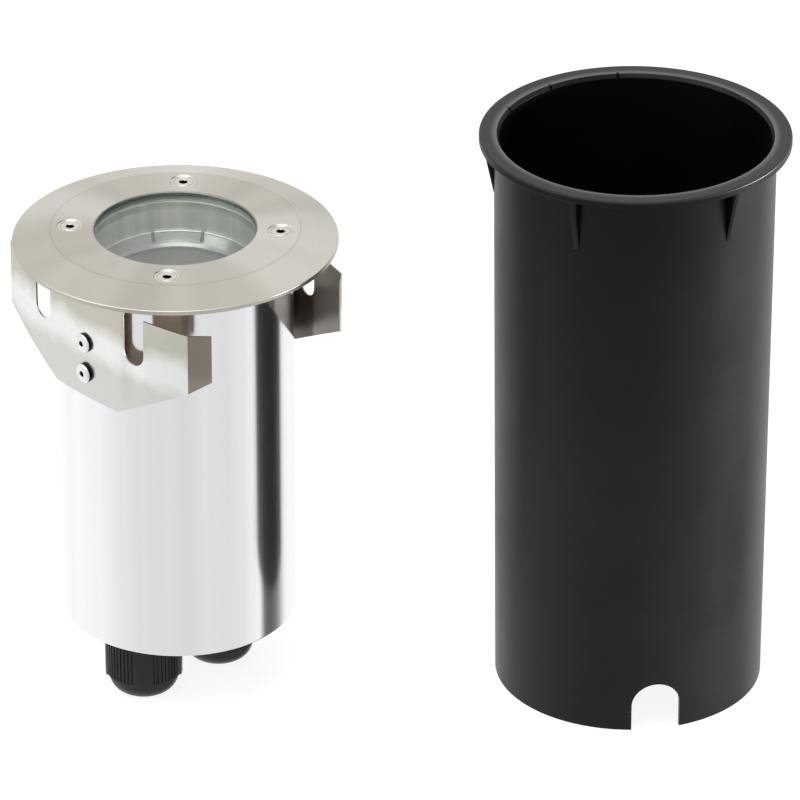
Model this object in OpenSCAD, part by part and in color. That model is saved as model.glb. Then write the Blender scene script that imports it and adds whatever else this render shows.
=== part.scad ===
// In-ground well light with its ground sleeve, in millimetres, +Z up.
// The origin is on the sleeve's axis, at the level of its bottom rim.
// The light stands beside the sleeve, on the ends of its two cable glands.

/* [Layout] */
// Distance from the sleeve's axis to the light's axis, along X
light_gap_x = 175.6; // [150:0.1:260]
// How far the light's axis stands in front of the sleeve's axis, along Y
light_gap_y = 4.8; // [0:0.1:40]
// Turn of the light about its own axis, in degrees
light_turn = -3; // [-45:0.1:45]
// Turn of the lamp cup inside the light, in degrees
cup_turn = 3; // [-22:0.1:22]

/* [Cover ring] */
// How far the cover ring stands out beyond the housing tube
cover_overhang = 17.3; // [12:0.1:25]
// Thickness of the ring at its outer edge
cover_edge_t = 1.7; // [1.4:0.1:3]
// How far the flat middle of the ring stands above the outer edge
cover_rise = 3.9; // [3.4:0.1:5]
// How far the flat middle of the ring goes beyond the housing tube, before the bevel
cover_flat_out = 2.65; // [1.6:0.05:8]
// Width of the ring's lip over the glass
window_lip = 3.3; // [2:0.1:8]
// Chamfer round the window and the outer edge
cover_chamfer = 0.4; // [0.2:0.1:0.8]

/* [Cover screws] */
// Distance of the cover screws' axes from the outside of the housing tube
screw_in = 4.8; // [3.9:0.1:5.6]
// Shank diameter of a cover screw
screw_d = 4.8; // [4:0.1:5.6]
// Head diameter of a cover screw
screw_head_d = 9.8; // [8:0.1:11]
// How far a head lies below the ring's flat
screw_head_sink = 0.3; // [0.1:0.1:0.5]
// Length of a cover screw, head included
screw_len = 15; // [12:0.5:18]
// Width across the flats of the hexagon socket
screw_hex_af = 3; // [2.5:0.5:4]

/* [Glass] */
// Distance of the glass's edge from the outside of the housing tube
rim_w = 11; // [9:0.1:13]
// Width of the ledge that the glass lies on
ledge_w = 2.5; // [1.5:0.1:4]
// Thickness of the glass
glass_t = 5; // [4:0.1:6]
// How far the glass stands above the top of the housing
glass_stand = 3.9; // [3:0.1:4.2]
// Thickness of the glass gasket
gasket_t = 0.9; // [0.5:0.1:1.5]

/* [Housing] */
// Outer diameter of the housing tube
tube_d = 90.4; // [75:0.1:108]
// Height of the housing tube
tube_h = 157.3; // [130:0.1:220]
// Wall thickness of the housing tube
tube_wall = 3; // [2:0.1:4]
// Height of the thick rim at the top of the tube
rim_h = 20.3; // [17:0.1:26]
// Thickness of the base plate
base_t = 5; // [4:0.1:7]
// Thickness of the carrier plate under the rim
carrier_t = 4; // [3.8:0.1:6]

/* [Spring clips] */
// Sheet thickness of the clips
clip_t = 0.8; // [0.6:0.1:1.2]
// Radius that the sheet is curved to
clip_curve_r = 197; // [150:1:260]
// Half width of a clip, from its middle to the fold
clip_half_w = 52.2; // [46:0.1:54]
// Half width of the middle tongue, up to the slot
tongue_half_w = 21.7; // [18:0.1:24]
// Width of the slots beside the tongue
slot_w = 10; // [6:0.1:12]
// Depth of the slots' round ends below the cover ring
slot_depth = 27.8; // [22:0.1:31]
// Depth of the arms' top edge below the cover ring
arm_top_depth = 7.6; // [5:0.1:13]
// Depth of the fold's bottom end below the cover ring
fold_depth = 32.2; // [30:0.1:37]
// Height of the lower rivet above the clip's bottom edge
clip_foot_h = 10.1; // [7:0.1:14]
// Half width of the bottom edge
clip_foot_half_w = 18.2; // [14:0.1:22]
// Gap between the tongue's top edge and the cover ring
tongue_gap = 1.3; // [1:0.1:5]
// Length of the folded end tips
tip_len = 9.1; // [5:0.1:12]
// Angle that the tips are folded in by, in degrees
tip_fold = 31; // [20:1:60]
// Height of the taper along the bottom of a tip
tip_taper = 5.1; // [2:0.1:8]

/* [Rivets] */
// Distance of the upper rivet below the tube's thick rim
rivet_below_rim = 7.5; // [6:0.1:12]
// Distance between the two rivets of a clip
rivet_pitch = 12.9; // [10:0.1:16]
// Diameter of a rivet's head
rivet_head_d = 7.8; // [6:0.1:9]
// Height of a rivet's head
rivet_head_h = 2; // [1:0.1:2.2]
// Diameter of a rivet's stem
rivet_stem_d = 4; // [3:0.1:4.8]

/* [Lamp cup] */
// Gap between the cup and the tube's thick rim
cup_play = 0.25; // [0.1:0.05:1]
// Height of the cup above the carrier plate
cup_h = 6.3; // [5:0.1:9]
// Sheet thickness of the cup's wall
cup_t = 0.7; // [0.5:0.1:1]
// Radial width of the cup, from its rim to the inside of its foot
cup_w = 4.15; // [3.3:0.05:6]
// Width of the slots in the rim
cup_slot_w = 1.4; // [1:0.1:2]
// Half angle between the two slots of a pair, in degrees
cup_slot_half = 18.5; // [14:0.5:22]

/* [Lamp module] */
// Side of the square lamp board
board_w = 10; // [9:0.5:12]
// Thickness of the lamp board
board_t = 1.2; // [1:0.1:1.4]
// Diameter of the light-emitting disc
emitter_d = 7; // [5:0.1:8]
// Height of the light-emitting disc
emitter_h = 0.7; // [0.4:0.1:1]
// Wall of the board's holder at the board's corners
holder_wall = 2.2; // [1.9:0.1:3]
// Gap between the heat sink's edge and the carrier screws' heads
sink_play = 0.8; // [0.3:0.1:6]
// Height of the finned heat sink
sink_h = 34; // [20:1:50]
// Number of fins
fin_n = 16; // [8:4:16]

/* [Driver] */
// Width of the driver's case
driver_w = 46; // [36:1:54]
// Depth of the driver's case
driver_d = 28; // [22:1:34]
// Gap between the driver's case and the heat sink
driver_gap = 10.2; // [4:0.1:30]
// Height of the driver's underside above the base plate
driver_lift = 24; // [19:1:40]
// Length of the terminal block
terminal_w = 26; // [21:0.5:31]
// Height of the terminal block
terminal_h = 15; // [12:0.5:18]

/* [Cable glands] */
// Distance between the axes of the two glands
gland_pitch = 38.6; // [32:0.1:45]
// Diameter of a gland's cap nut
nut_d = 30.2; // [25:0.1:31.5]
// Height of a gland's cap nut
nut_h = 24.1; // [22:0.1:34]
// Height of the nut's rounded end
nut_dome_h = 7; // [5:0.1:9]
// Depth of the grooves in the nut's grip
nut_groove = 0.55; // [0.3:0.05:0.8]
// Thread diameter under the cap nut
nut_thread_d = 22.4; // [18.6:0.1:23.8]
// Thread diameter through the base plate
gland_thread_d = 19.8; // [16.4:0.1:23.4]
// How far the flats of the gland's hexagon stand out from that thread
gland_hex_w = 2.1; // [1.5:0.1:3]
// Height of the gland's hexagon
gland_hex_h = 6; // [5:0.1:8]
// Thickness of the washer under the hexagon
gland_washer_t = 1.2; // [0.8:0.1:2]
// Bore that the cable passes through
cable_bore_d = 10; // [6:0.5:12]

/* [Ground sleeve] */
// Outer diameter of the sleeve under its flange
sleeve_d = 108; // [88:0.5:128]
// How much the sleeve's radius shrinks from its flange to its bottom rim
sleeve_draft = 1.8; // [0.5:0.1:4]
// Height of the sleeve
sleeve_h = 232.5; // [200:0.5:300]
// Wall thickness of the sleeve
sleeve_wall = 2; // [1.5:0.1:3]
// How far the sleeve's flange stands out
flange_w = 5.75; // [4:0.05:10]
// Thickness of the sleeve's flange
flange_t = 2.9; // [1.9:0.1:3.5]
// Height of the chamfer inside the sleeve's mouth
mouth_chamfer = 1.7; // [1:0.1:1.8]
// Number of webs under the flange on each side of the front
web_side_n = 3; // [1:1:3]
// Angle between two webs, in degrees
web_pitch = 65; // [40:1:70]
// Direction of the middle between the two front webs, in degrees
web_turn = 7; // [-90:0.1:90]
// Thickness of a web
web_t = 2.2; // [1.5:0.1:4]
// Height of a web
web_h = 22; // [10:0.5:40]
// Width of the cable arch at the bottom rim
arch_w = 19; // [12:0.5:30]
// Height of the cable arch
arch_h = 20; // [16:0.5:40]
// Direction of the cable arch from the front, in degrees
arch_turn = 10.6; // [-90:0.1:90]

/* [Hidden] */
$fn = 96;

// One overrun for all cuts, and the clearances between pieces
over = 1;
fit_gap = 0.05;
thread_gap = 0.07;
seat_gap = 0.3;
hole_play = 0.3;

// Heights of the light above the ground
tube_z = nut_h + seat_gap + gland_hex_h + gland_washer_t;
top_z = tube_z + tube_h;
base_top_z = tube_z + base_t;
carrier_top_z = top_z - rim_h;
carrier_z = carrier_top_z - carrier_t;
driver_z = base_top_z + driver_lift;
driver_h = carrier_z - sink_h - driver_gap - driver_z;
driver_top_z = driver_z + driver_h;

// Cover ring and glass, all from the outside of the housing tube
cover_t = cover_edge_t + cover_rise;
cover_d = tube_d + 2 * cover_overhang;
cover_flat_d = tube_d + 2 * cover_flat_out;
screw_pcd = tube_d - 2 * screw_in;
glass_d = tube_d - 2 * rim_w;
window_d = glass_d - 2 * window_lip;
rim_bore_d = glass_d - 2 * ledge_w;
glass_chamfer = 0.5;
pocket_d = glass_d + 2 * seat_gap;
pocket_depth = glass_t - glass_stand + gasket_t;

// Screws with countersunk heads: in the cover, and smaller ones in the base plate
head_rim = 0.1;
tip_chamfer = 0.5;
screw_turn = 8;
hex_depth = 2.2;
tap_left = 1;
tap_chamfer = 0.5;
tapped_depth = screw_len + screw_head_sink - cover_t + tap_left;
base_screw_d = 3.8;
base_screw_head_d = 7.8;
base_screw_len = 14;
base_tapped = base_screw_len + screw_head_sink - base_t + tap_left;
base_hex_af = 2.5;

// Housing tube: the base plate's recess, and bosses that run into the tube's wall
tube_bore_d = tube_d - 2 * tube_wall;
tube_chamfer = 0.6;
recess_share = 2 / 3;
recess_d = tube_d - 2 * tube_wall * recess_share;
boss_d = 10;
boss_h = 12;
boss_in = 4.4;
boss_pcd = tube_bore_d - 2 * boss_in;
base_d = recess_d - 2 * fit_gap;
seal_t = 1.6;
seal_w = 0.9;

// Carrier plate, its screws and the leads' way through it
carrier_in = 3.1;
carrier_d = tube_bore_d - 2 * carrier_in;
carrier_screw_in = 6.7;
carrier_screw_pcd = tube_bore_d - 2 * carrier_screw_in;
carrier_screw_d = 3.8;
carrier_head_d = 6.4;
carrier_head_h = 2.4;
carrier_tapped = 7;

// Spring clips: the directions of their middles, and the plan of the curved sheet
clip_gap = 0.05;
clip_turns = [225, 45];
rivet_depth = rim_h + rivet_below_rim;
clip_depth = rivet_depth + rivet_pitch + clip_foot_h;
clip_centre = tube_d / 2 + clip_gap - clip_curve_r;
clip_outer_r = clip_curve_r + clip_t;
clip_end_turn = asin(clip_half_w / clip_outer_r);
clip_fn = 360;
fold_lap = 0.05;

// Rivets
rivet_ball_r = (pow(rivet_head_d / 2, 2) + pow(rivet_head_h, 2)) / (2 * rivet_head_h);
rivet_seat = clip_gap + clip_t + fit_gap;
rivet_pin_d = 2.2;
rivet_pin_depth = 0.7;
rivet_bulb_d = 6.2;
rivet_bulb_h = 2.5;

// Lamp cup
cup_d = rim_bore_d - 2 * cup_play;
cup_foot_d = cup_d - 2 * cup_w;
cup_ledge_w = 1.1;
cup_ledge_h = 2.2;
cup_ledge_w_shares = [0.2, 0.5];
cup_ledge_h_shares = [0.33, 0.5, 0.67];
cup_cone_h = 3.2;
cup_relief_d = 1.9;

// Lamp module: it stands on the heat sink, in the carrier plate's opening
holder_d = board_w * sqrt(2) + 2 * holder_wall;
holder_h = carrier_t - seat_gap;
holder_screw_out = 1.8;
holder_screw_pcd = board_w + 2 * holder_screw_out;
holder_screw_d = 1.6;
holder_head_d = 3;
holder_head_h = 1.2;
holder_tapped = 3;
mouth_gap = 0.6;
mouth_flare = 0.5;
lead_side = 180;
lead_hole_d = 6;
lead_hole_out = 5.2;
lead_hole_r = holder_d / 2 + lead_hole_out;
sink_d = carrier_screw_pcd - carrier_head_d - 2 * sink_play;
sink_core_d = 22;
sink_plate_t = 3;
fin_t = 1.8;
fin_edge = 1.8;
sink_screw_in = 6.5;
sink_screw_pcd = sink_d - 2 * sink_screw_in;
pan_screw_d = 2.4;
pan_head_d = 4.6;
pan_head_h = 2;
pan_tapped = 3;

// Driver, bracket and terminal block: X runs across the two glands, Y along them
across_turn = 135;
bracket_t = 1.5;
bracket_x = 16;
bracket_in = 8.2;
bracket_foot = tube_bore_d / 2 - bracket_in - bracket_x;
bracket_w = 30;
bracket_screw_in = 6;
bracket_screw_pitch = 20;
terminal_d = 13;
terminal_in = 7.7;
terminal_x = terminal_in + terminal_d / 2 - tube_bore_d / 2;
terminal_port_in = 5;
terminal_pitch = terminal_w - 2 * terminal_port_in;
terminal_floor = 1.5;
terminal_port_d = 4;

// Leads
lead_d = 1.4;
lead_bend_r = 3;
lead_pitch = 1.9;
lead_on_board = 0.8;
earth_d = 2;

// Cable glands
gland_turn = 45;
gland_rise = 13;
gland_bore_d = 14;
gland_hex_af = gland_thread_d + 2 * gland_hex_w;
gland_skirt_z = 11;
seal_z = 8.5;
seal_top_in = 3.3;
seal_h = nut_h - seal_z - seal_top_in;
gland_seat_wall = 1.9;
claw_n = 8;
claw_w = 1.4;
claw_h = 6;
locknut_h = 5;
nut_lip_z = 4.5;
nut_cone_top = 10;
nut_exit_play = 1.7;
nut_edge = 0.6;
nut_z = nut_h + seat_gap;
groove_n = 9;
groove_step = 6.6;
grip_n = 4;
grip_turn = 3.3;
grip_rise = 1.6;
dome_r_shares = [0.6, 0.8, 0.93];
dome_z_shares = [0.11, 0.4, 0.8];

// Ground sleeve
sleeve_foot_d = sleeve_d - 2 * sleeve_draft;
sleeve_bore_d = sleeve_d - 2 * sleeve_wall;
sleeve_foot_bore_d = sleeve_foot_d - 2 * sleeve_wall;
flange_d = sleeve_d + 2 * flange_w;
flange_edge = 0.4;
flange_z = sleeve_h - flange_t;
mouth_out = 1.1;
web_edge_gap = 1;
notch_w = 1.1;
notch_in = 1.7;
notch_turns = [96, 127, 155];

// Puts a piece of the light beside the sleeve
module at_light() {
    translate([-light_gap_x, -light_gap_y, 0]) rotate([0, 0, light_turn]) children();
}

// Copies a piece at evenly spaced places on a circle
module around(count, diameter, start = 0) {
    for (i = [0:count - 1])
        rotate([0, 0, start + i * 360 / count]) translate([diameter / 2, 0, 0]) children();
}

// A round piece turned from an outline of [radius, height] points
module turned(outline) {
    rotate_extrude() polygon(outline);
}

// A flat ring
module ring(outer_d, inner_d, height) {
    difference() {
        cylinder(d = outer_d, h = height);
        translate([0, 0, -over]) cylinder(d = inner_d, h = height + 2 * over);
    }
}

// The place of the left gland with side -1, of the right one with side 1
module at_gland(side) {
    rotate([0, 0, gland_turn]) translate([side * gland_pitch / 2, 0, 0]) children();
}

// The frame of the driver and the terminal block
module across() {
    rotate([0, 0, across_turn]) children();
}

// A countersunk screw below its flat top, with a hexagon socket
module countersunk_screw(shank_d, head_d, length, socket_af) {
    shank_r = shank_d / 2;
    head_r = head_d / 2;
    cone_h = head_r - shank_r;
    difference() {
        turned([
            [0, -length], [shank_r - tip_chamfer, -length], [shank_r, tip_chamfer - length],
            [shank_r, -head_rim - cone_h], [head_r, -head_rim], [head_r, 0], [0, 0]
        ]);
        translate([0, 0, -hex_depth]) cylinder(d = socket_af / cos(30), h = hex_depth + over, $fn = 6);
    }
}

// The hole for such a screw, cut downwards from the surface
module countersunk_hole(shank_d, head_d, depth) {
    hole_r = shank_d / 2 + hole_play;
    mouth_r = head_d / 2 + fit_gap + screw_head_sink + head_rim;
    turned([
        [0, -depth - over], [hole_r, -depth - over], [hole_r, hole_r - mouth_r],
        [mouth_r + over, over], [0, over]
    ]);
}

// A tapped hole with a chamfered mouth, cut downwards from the surface
module tapped_hole(shank_d, depth) {
    r = shank_d / 2 + fit_gap;
    turned([
        [0, -depth], [r, -depth], [r, -tap_chamfer], [r + tap_chamfer + over, over], [0, over]
    ]);
}

// A screw with a flat round head that stands on its seat
module pan_screw(shank_d, head_d, head_h, length) {
    cylinder(d = head_d, h = head_h);
    translate([0, 0, -length]) cylinder(d = shank_d, h = length + head_h / 2);
}

// Cover ring: a bevelled ring with a window, a step over the glass and countersunk holes
module cover_ring() {
    edge_r = cover_d / 2;
    window_r = window_d / 2;
    pocket_r = pocket_d / 2;
    color([0.78, 0.77, 0.74]) at_light() translate([0, 0, top_z]) difference() {
        turned([
            [window_r, glass_stand], [window_r, cover_t - cover_chamfer],
            [window_r + cover_chamfer, cover_t], [cover_flat_d / 2, cover_t],
            [edge_r - cover_chamfer, cover_edge_t], [edge_r, cover_edge_t - cover_chamfer],
            [edge_r, 0], [pocket_r, 0], [pocket_r, glass_stand]
        ]);
        around(4, screw_pcd) translate([0, 0, cover_t]) countersunk_hole(screw_d, screw_head_d, cover_t);
    }
}

module cover_screws() {
    color([0.72, 0.72, 0.7]) at_light()
        around(4, screw_pcd) translate([0, 0, top_z + cover_t - screw_head_sink]) rotate([0, 0, screw_turn])
            countersunk_screw(screw_d, screw_head_d, screw_len, screw_hex_af);
}

// Glass and its gasket
module glass_lens() {
    r = glass_d / 2;
    color([0.7, 0.82, 0.78]) at_light() translate([0, 0, top_z + glass_stand - glass_t]) turned([
        [0, 0], [r - glass_chamfer, 0], [r, glass_chamfer],
        [r, glass_t - glass_chamfer], [r - glass_chamfer, glass_t], [0, glass_t]
    ]);
}

module glass_gasket() {
    color([0.15, 0.15, 0.15]) at_light() translate([0, 0, top_z - pocket_depth])
        ring(glass_d, rim_bore_d + 2 * seat_gap, gasket_t);
}

// The two rivets of a clip: Z points out of the tube, from its surface
module rivet_places(clip_turn) {
    for (i = [0:1])
        rotate([0, 0, clip_turn]) translate([tube_d / 2, 0, top_z - rivet_depth - i * rivet_pitch])
            rotate([0, 90, 0]) children();
}

// Housing: a turned tube with a thick rim on top and screw bosses at the bottom
module housing_tube() {
    tube_r = tube_d / 2;
    bore_r = tube_bore_d / 2;
    rim_r = rim_bore_d / 2;
    recess_r = recess_d / 2;
    pocket_r = pocket_d / 2;
    color([0.85, 0.86, 0.87]) at_light() difference() {
        union() {
            turned([
                [recess_r, tube_z], [tube_r - tube_chamfer, tube_z], [tube_r, tube_z + tube_chamfer],
                [tube_r, top_z], [pocket_r, top_z], [pocket_r, top_z - pocket_depth],
                [rim_r, top_z - pocket_depth], [rim_r, carrier_top_z],
                [bore_r, carrier_top_z], [bore_r, base_top_z], [recess_r, base_top_z]
            ]);
            around(4, boss_pcd) translate([0, 0, base_top_z]) cylinder(d = boss_d, h = boss_h);
        }
        around(4, screw_pcd) translate([0, 0, top_z]) tapped_hole(screw_d, tapped_depth);
        around(4, boss_pcd) translate([0, 0, base_top_z]) rotate([180, 0, 0])
            tapped_hole(base_screw_d, base_tapped);
        around(4, carrier_screw_pcd, 45) translate([0, 0, carrier_top_z]) rotate([180, 0, 0])
            tapped_hole(carrier_screw_d, carrier_tapped);
        for (clip_turn = clip_turns)
            rivet_places(clip_turn) translate([0, 0, -tube_wall - over])
                cylinder(d = rivet_stem_d + 2 * fit_gap, h = tube_wall + 2 * over);
    }
}

// Base plate with its seal and screws
module base_plate() {
    color([0.7, 0.71, 0.72]) at_light() translate([0, 0, tube_z]) difference() {
        cylinder(d = base_d, h = base_t);
        translate([0, 0, (base_t - seal_t) / 2]) ring(base_d + 2 * over, base_d - 2 * seal_w, seal_t);
        around(4, boss_pcd) rotate([180, 0, 0]) countersunk_hole(base_screw_d, base_screw_head_d, base_t);
        for (side = [-1, 1])
            at_gland(side) translate([0, 0, -over])
                cylinder(d = gland_thread_d + 2 * hole_play, h = base_t + 2 * over);
        across() floor_screw_places() translate([0, 0, base_t - pan_tapped])
            cylinder(d = pan_screw_d + 2 * fit_gap, h = pan_tapped + over);
    }
}

// Where the small screws enter the base plate from above
module floor_screw_places() {
    bracket_screw_places() children();
    translate([terminal_x, 0, 0]) children();
    children();
}

module bracket_screw_places() {
    for (side = [-1, 1])
        translate([bracket_x + bracket_foot - bracket_screw_in, side * bracket_screw_pitch / 2, 0])
            children();
}

module base_seal() {
    color([0.12, 0.12, 0.12]) at_light() translate([0, 0, tube_z + (base_t - seal_t) / 2 + fit_gap])
        ring(base_d, base_d - 2 * seal_w + 2 * fit_gap, seal_t - 2 * fit_gap);
}

module base_screws() {
    color([0.6, 0.6, 0.6]) at_light()
        around(4, boss_pcd) translate([0, 0, tube_z + screw_head_sink]) rotate([180, 0, 0])
            countersunk_screw(base_screw_d, base_screw_head_d, base_screw_len, base_hex_af);
}

// Spring clips: plan of a curved sheet with folded tips, and the outline of its face
module clip_plan() {
    reach = 2 * clip_outer_r;
    translate([clip_centre, 0]) {
        difference() {
            intersection() {
                circle(r = clip_outer_r, $fn = clip_fn);
                polygon([
                    [0, 0], [reach * cos(clip_end_turn), reach * sin(clip_end_turn)],
                    [reach * cos(clip_end_turn), -reach * sin(clip_end_turn)]
                ]);
            }
            circle(r = clip_curve_r, $fn = clip_fn);
        }
        for (side = [-1, 1])
            rotate(side * clip_end_turn) translate([clip_outer_r - fold_lap, 0]) rotate(side * tip_fold)
                translate([-clip_t / 2, side * tip_len / 2])
                    square([clip_t, tip_len + fold_lap], center = true);
    }
}

module clip_face() {
    slot_r = slot_w / 2;
    arm_w = tongue_half_w + slot_w;
    tip_w = clip_half_w + tip_len;
    difference() {
        polygon([
            [-clip_foot_half_w, -clip_depth], [clip_foot_half_w, -clip_depth],
            [clip_half_w, -fold_depth], [tip_w, tip_taper - fold_depth], [tip_w, -arm_top_depth],
            [arm_w, -arm_top_depth], [arm_w, -tongue_gap],
            [-arm_w, -tongue_gap], [-arm_w, -arm_top_depth],
            [-tip_w, -arm_top_depth], [-tip_w, tip_taper - fold_depth], [-clip_half_w, -fold_depth]
        ]);
        for (side = [-1, 1])
            translate([side * (tongue_half_w + slot_r), slot_r - slot_depth]) {
                circle(r = slot_r);
                translate([-slot_r, 0]) square([slot_w, slot_depth]);
            }
    }
}

module spring_clip(clip_turn) {
    color([0.76, 0.74, 0.71]) at_light() difference() {
        translate([0, 0, top_z]) rotate([0, 0, clip_turn]) intersection() {
            translate([0, 0, -clip_depth - over]) linear_extrude(clip_depth + over) clip_plan();
            rotate([90, 0, 90]) linear_extrude(tube_d) clip_face();
        }
        rivet_places(clip_turn) translate([0, 0, -over])
            cylinder(d = rivet_stem_d + 2 * fit_gap, h = rivet_seat + 2 * over);
    }
}

module spring_clip_front() {
    spring_clip(clip_turns[0]);
}

module spring_clip_rear() {
    spring_clip(clip_turns[1]);
}

// Blind rivets, with a round head outside and a bulb inside the tube's wall
module clip_rivets() {
    inside = tube_wall + seat_gap + rivet_bulb_h;
    color([0.8, 0.8, 0.8]) at_light()
        for (clip_turn = clip_turns)
            rivet_places(clip_turn) difference() {
                union() {
                    translate([0, 0, rivet_seat]) intersection() {
                        translate([0, 0, rivet_head_h - rivet_ball_r]) sphere(r = rivet_ball_r);
                        cylinder(d = rivet_head_d + over, h = rivet_head_h);
                    }
                    translate([0, 0, -inside]) {
                        cylinder(d = rivet_stem_d, h = inside + rivet_seat + rivet_head_h / 2);
                        cylinder(d = rivet_bulb_d, h = rivet_bulb_h);
                    }
                }
                translate([0, 0, rivet_seat + rivet_head_h - rivet_pin_depth])
                    cylinder(d = rivet_pin_d, h = rivet_pin_depth + over);
            }
}

// Lamp cup: a spun ring with a rounded ledge and a slotted, flared rim
module lamp_cup() {
    foot_r = cup_foot_d / 2;
    ledge_r = foot_r + cup_ledge_w;
    rim_r = cup_d / 2;
    slot_z = cup_cone_h + cup_t / 2;
    color([0.86, 0.87, 0.87]) at_light()
        translate([0, 0, carrier_top_z]) rotate([0, 0, cup_turn]) difference() {
            turned([
                [foot_r, 0], [foot_r, cup_ledge_h * cup_ledge_h_shares[0]],
                [foot_r + cup_ledge_w * cup_ledge_w_shares[0], cup_ledge_h * cup_ledge_h_shares[1]],
                [foot_r + cup_ledge_w * cup_ledge_w_shares[1], cup_ledge_h * cup_ledge_h_shares[2]],
                [ledge_r, cup_ledge_h], [ledge_r + cup_t, cup_cone_h],
                [rim_r - cup_t, cup_h - cup_t / 2], [rim_r - cup_t / 2, cup_h], [rim_r, cup_h - cup_t / 2],
                [ledge_r + 2 * cup_t, cup_cone_h], [ledge_r + 2 * cup_t, 0]
            ]);
            for (quarter = [0:90:270], side = [-1, 1])
                rotate([0, 0, quarter + side * cup_slot_half]) translate([foot_r, 0, slot_z]) {
                    translate([0, -cup_slot_w / 2, 0]) cube([foot_r, cup_slot_w, cup_h]);
                    rotate([0, 90, 0]) cylinder(d = cup_relief_d, h = foot_r);
                }
        }
}

// The leads' channel on top of the heat sink, from the hole in its plate to the lamp board
module lead_channel() {
    channel_w = lead_pitch + lead_d + 2 * seat_gap;
    channel_h = board_t + lead_d + 2 * seat_gap;
    rotate([0, 0, lead_side]) translate([0, -channel_w / 2, -over])
        cube([lead_hole_r + lead_hole_d / 2, channel_w, channel_h + over]);
}

// The four small screws that hold the heat sink stand between its fins
module sink_screw_places() {
    around(4, sink_screw_pcd, 2 * 360 / fin_n) children();
}

module carrier_plate() {
    color([0.55, 0.58, 0.56]) at_light() translate([0, 0, carrier_z]) difference() {
        cylinder(d = carrier_d, h = carrier_t);
        around(4, carrier_screw_pcd, 45) translate([0, 0, -over])
            cylinder(d = carrier_screw_d + 2 * hole_play, h = carrier_t + 2 * over);
        translate([0, 0, -over]) cylinder(d = holder_d + 2 * seat_gap, h = carrier_t + 2 * over);
        lead_channel();
        sink_screw_places() translate([0, 0, -over])
            cylinder(d = pan_screw_d + 2 * fit_gap, h = pan_tapped + over);
    }
}

module carrier_screws() {
    color([0.6, 0.6, 0.6]) at_light()
        around(4, carrier_screw_pcd, 45) translate([0, 0, carrier_z]) rotate([180, 0, 0])
            pan_screw(carrier_screw_d, carrier_head_d, carrier_head_h, carrier_t + carrier_tapped - seat_gap);
}

// Lamp board, emitter and holder
module lamp_board() {
    color([0.92, 0.92, 0.9]) at_light() translate([-board_w / 2, -board_w / 2, carrier_z])
        cube([board_w, board_w, board_t]);
}

module lamp_emitter() {
    color([0.95, 0.82, 0.25]) at_light() translate([0, 0, carrier_z + board_t])
        cylinder(d = emitter_d, h = emitter_h);
}

module board_holder() {
    room = board_w + 2 * seat_gap;
    mouth_d = emitter_d + 2 * mouth_gap;
    color([0.93, 0.93, 0.91]) at_light() translate([0, 0, carrier_z]) difference() {
        cylinder(d = holder_d, h = holder_h);
        translate([-room / 2, -room / 2, -over]) cube([room, room, board_t + over]);
        translate([0, 0, board_t - over]) cylinder(d = mouth_d, h = holder_h);
        translate([0, 0, board_t])
            cylinder(d1 = mouth_d, d2 = mouth_d + 2 * mouth_flare, h = holder_h - board_t);
        lead_channel();
        around(2, holder_screw_pcd, lead_side + 90) {
            translate([0, 0, -over]) cylinder(d = holder_screw_d + 2 * hole_play, h = holder_h);
            translate([0, 0, holder_h - holder_head_h])
                cylinder(d = holder_head_d + 2 * hole_play, h = holder_head_h + over);
        }
    }
}

module holder_screws() {
    seat_z = holder_h - holder_head_h;
    color([0.6, 0.6, 0.6]) at_light()
        around(2, holder_screw_pcd, lead_side + 90) translate([0, 0, carrier_z + seat_z])
            pan_screw(holder_screw_d, holder_head_d, holder_head_h, seat_z + holder_tapped - seat_gap);
}

// Finned heat sink under the carrier plate
module heat_sink() {
    fin_h = sink_h - sink_plate_t;
    color([0.62, 0.63, 0.64]) at_light() translate([0, 0, carrier_z - sink_h]) difference() {
        union() {
            translate([0, 0, fin_h]) cylinder(d = sink_d, h = sink_plate_t);
            cylinder(d = sink_core_d, h = sink_h);
            for (i = [0:fin_n - 1])
                rotate([0, 0, (i + 0.5) * 360 / fin_n]) translate([0, -fin_t / 2, 0])
                    cube([sink_d / 2 - fin_edge, fin_t, sink_h - sink_plate_t / 2]);
        }
        rotate([0, 0, lead_side]) translate([lead_hole_r, 0, fin_h - over])
            cylinder(d = lead_hole_d, h = sink_plate_t + 2 * over);
        sink_screw_places() translate([0, 0, fin_h - over])
            cylinder(d = pan_screw_d + 2 * hole_play, h = sink_plate_t + 2 * over);
        around(2, holder_screw_pcd, lead_side + 90) translate([0, 0, sink_h - holder_tapped])
            cylinder(d = holder_screw_d + 2 * fit_gap, h = holder_tapped + over);
    }
}

// Driver on its bracket
module lamp_driver() {
    color([0.9, 0.9, 0.88]) at_light() across()
        translate([bracket_x - driver_d, -driver_w / 2, driver_z]) cube([driver_d, driver_w, driver_h]);
}

module driver_bracket() {
    color([0.7, 0.7, 0.7]) at_light() across() translate([0, 0, base_top_z]) difference() {
        translate([bracket_x, -bracket_w / 2, 0]) {
            cube([bracket_t, bracket_w, driver_lift + driver_h]);
            cube([bracket_foot, bracket_w, bracket_t]);
        }
        bracket_screw_places() translate([0, 0, -over])
            cylinder(d = pan_screw_d + 2 * hole_play, h = bracket_t + 2 * over);
    }
}

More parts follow.
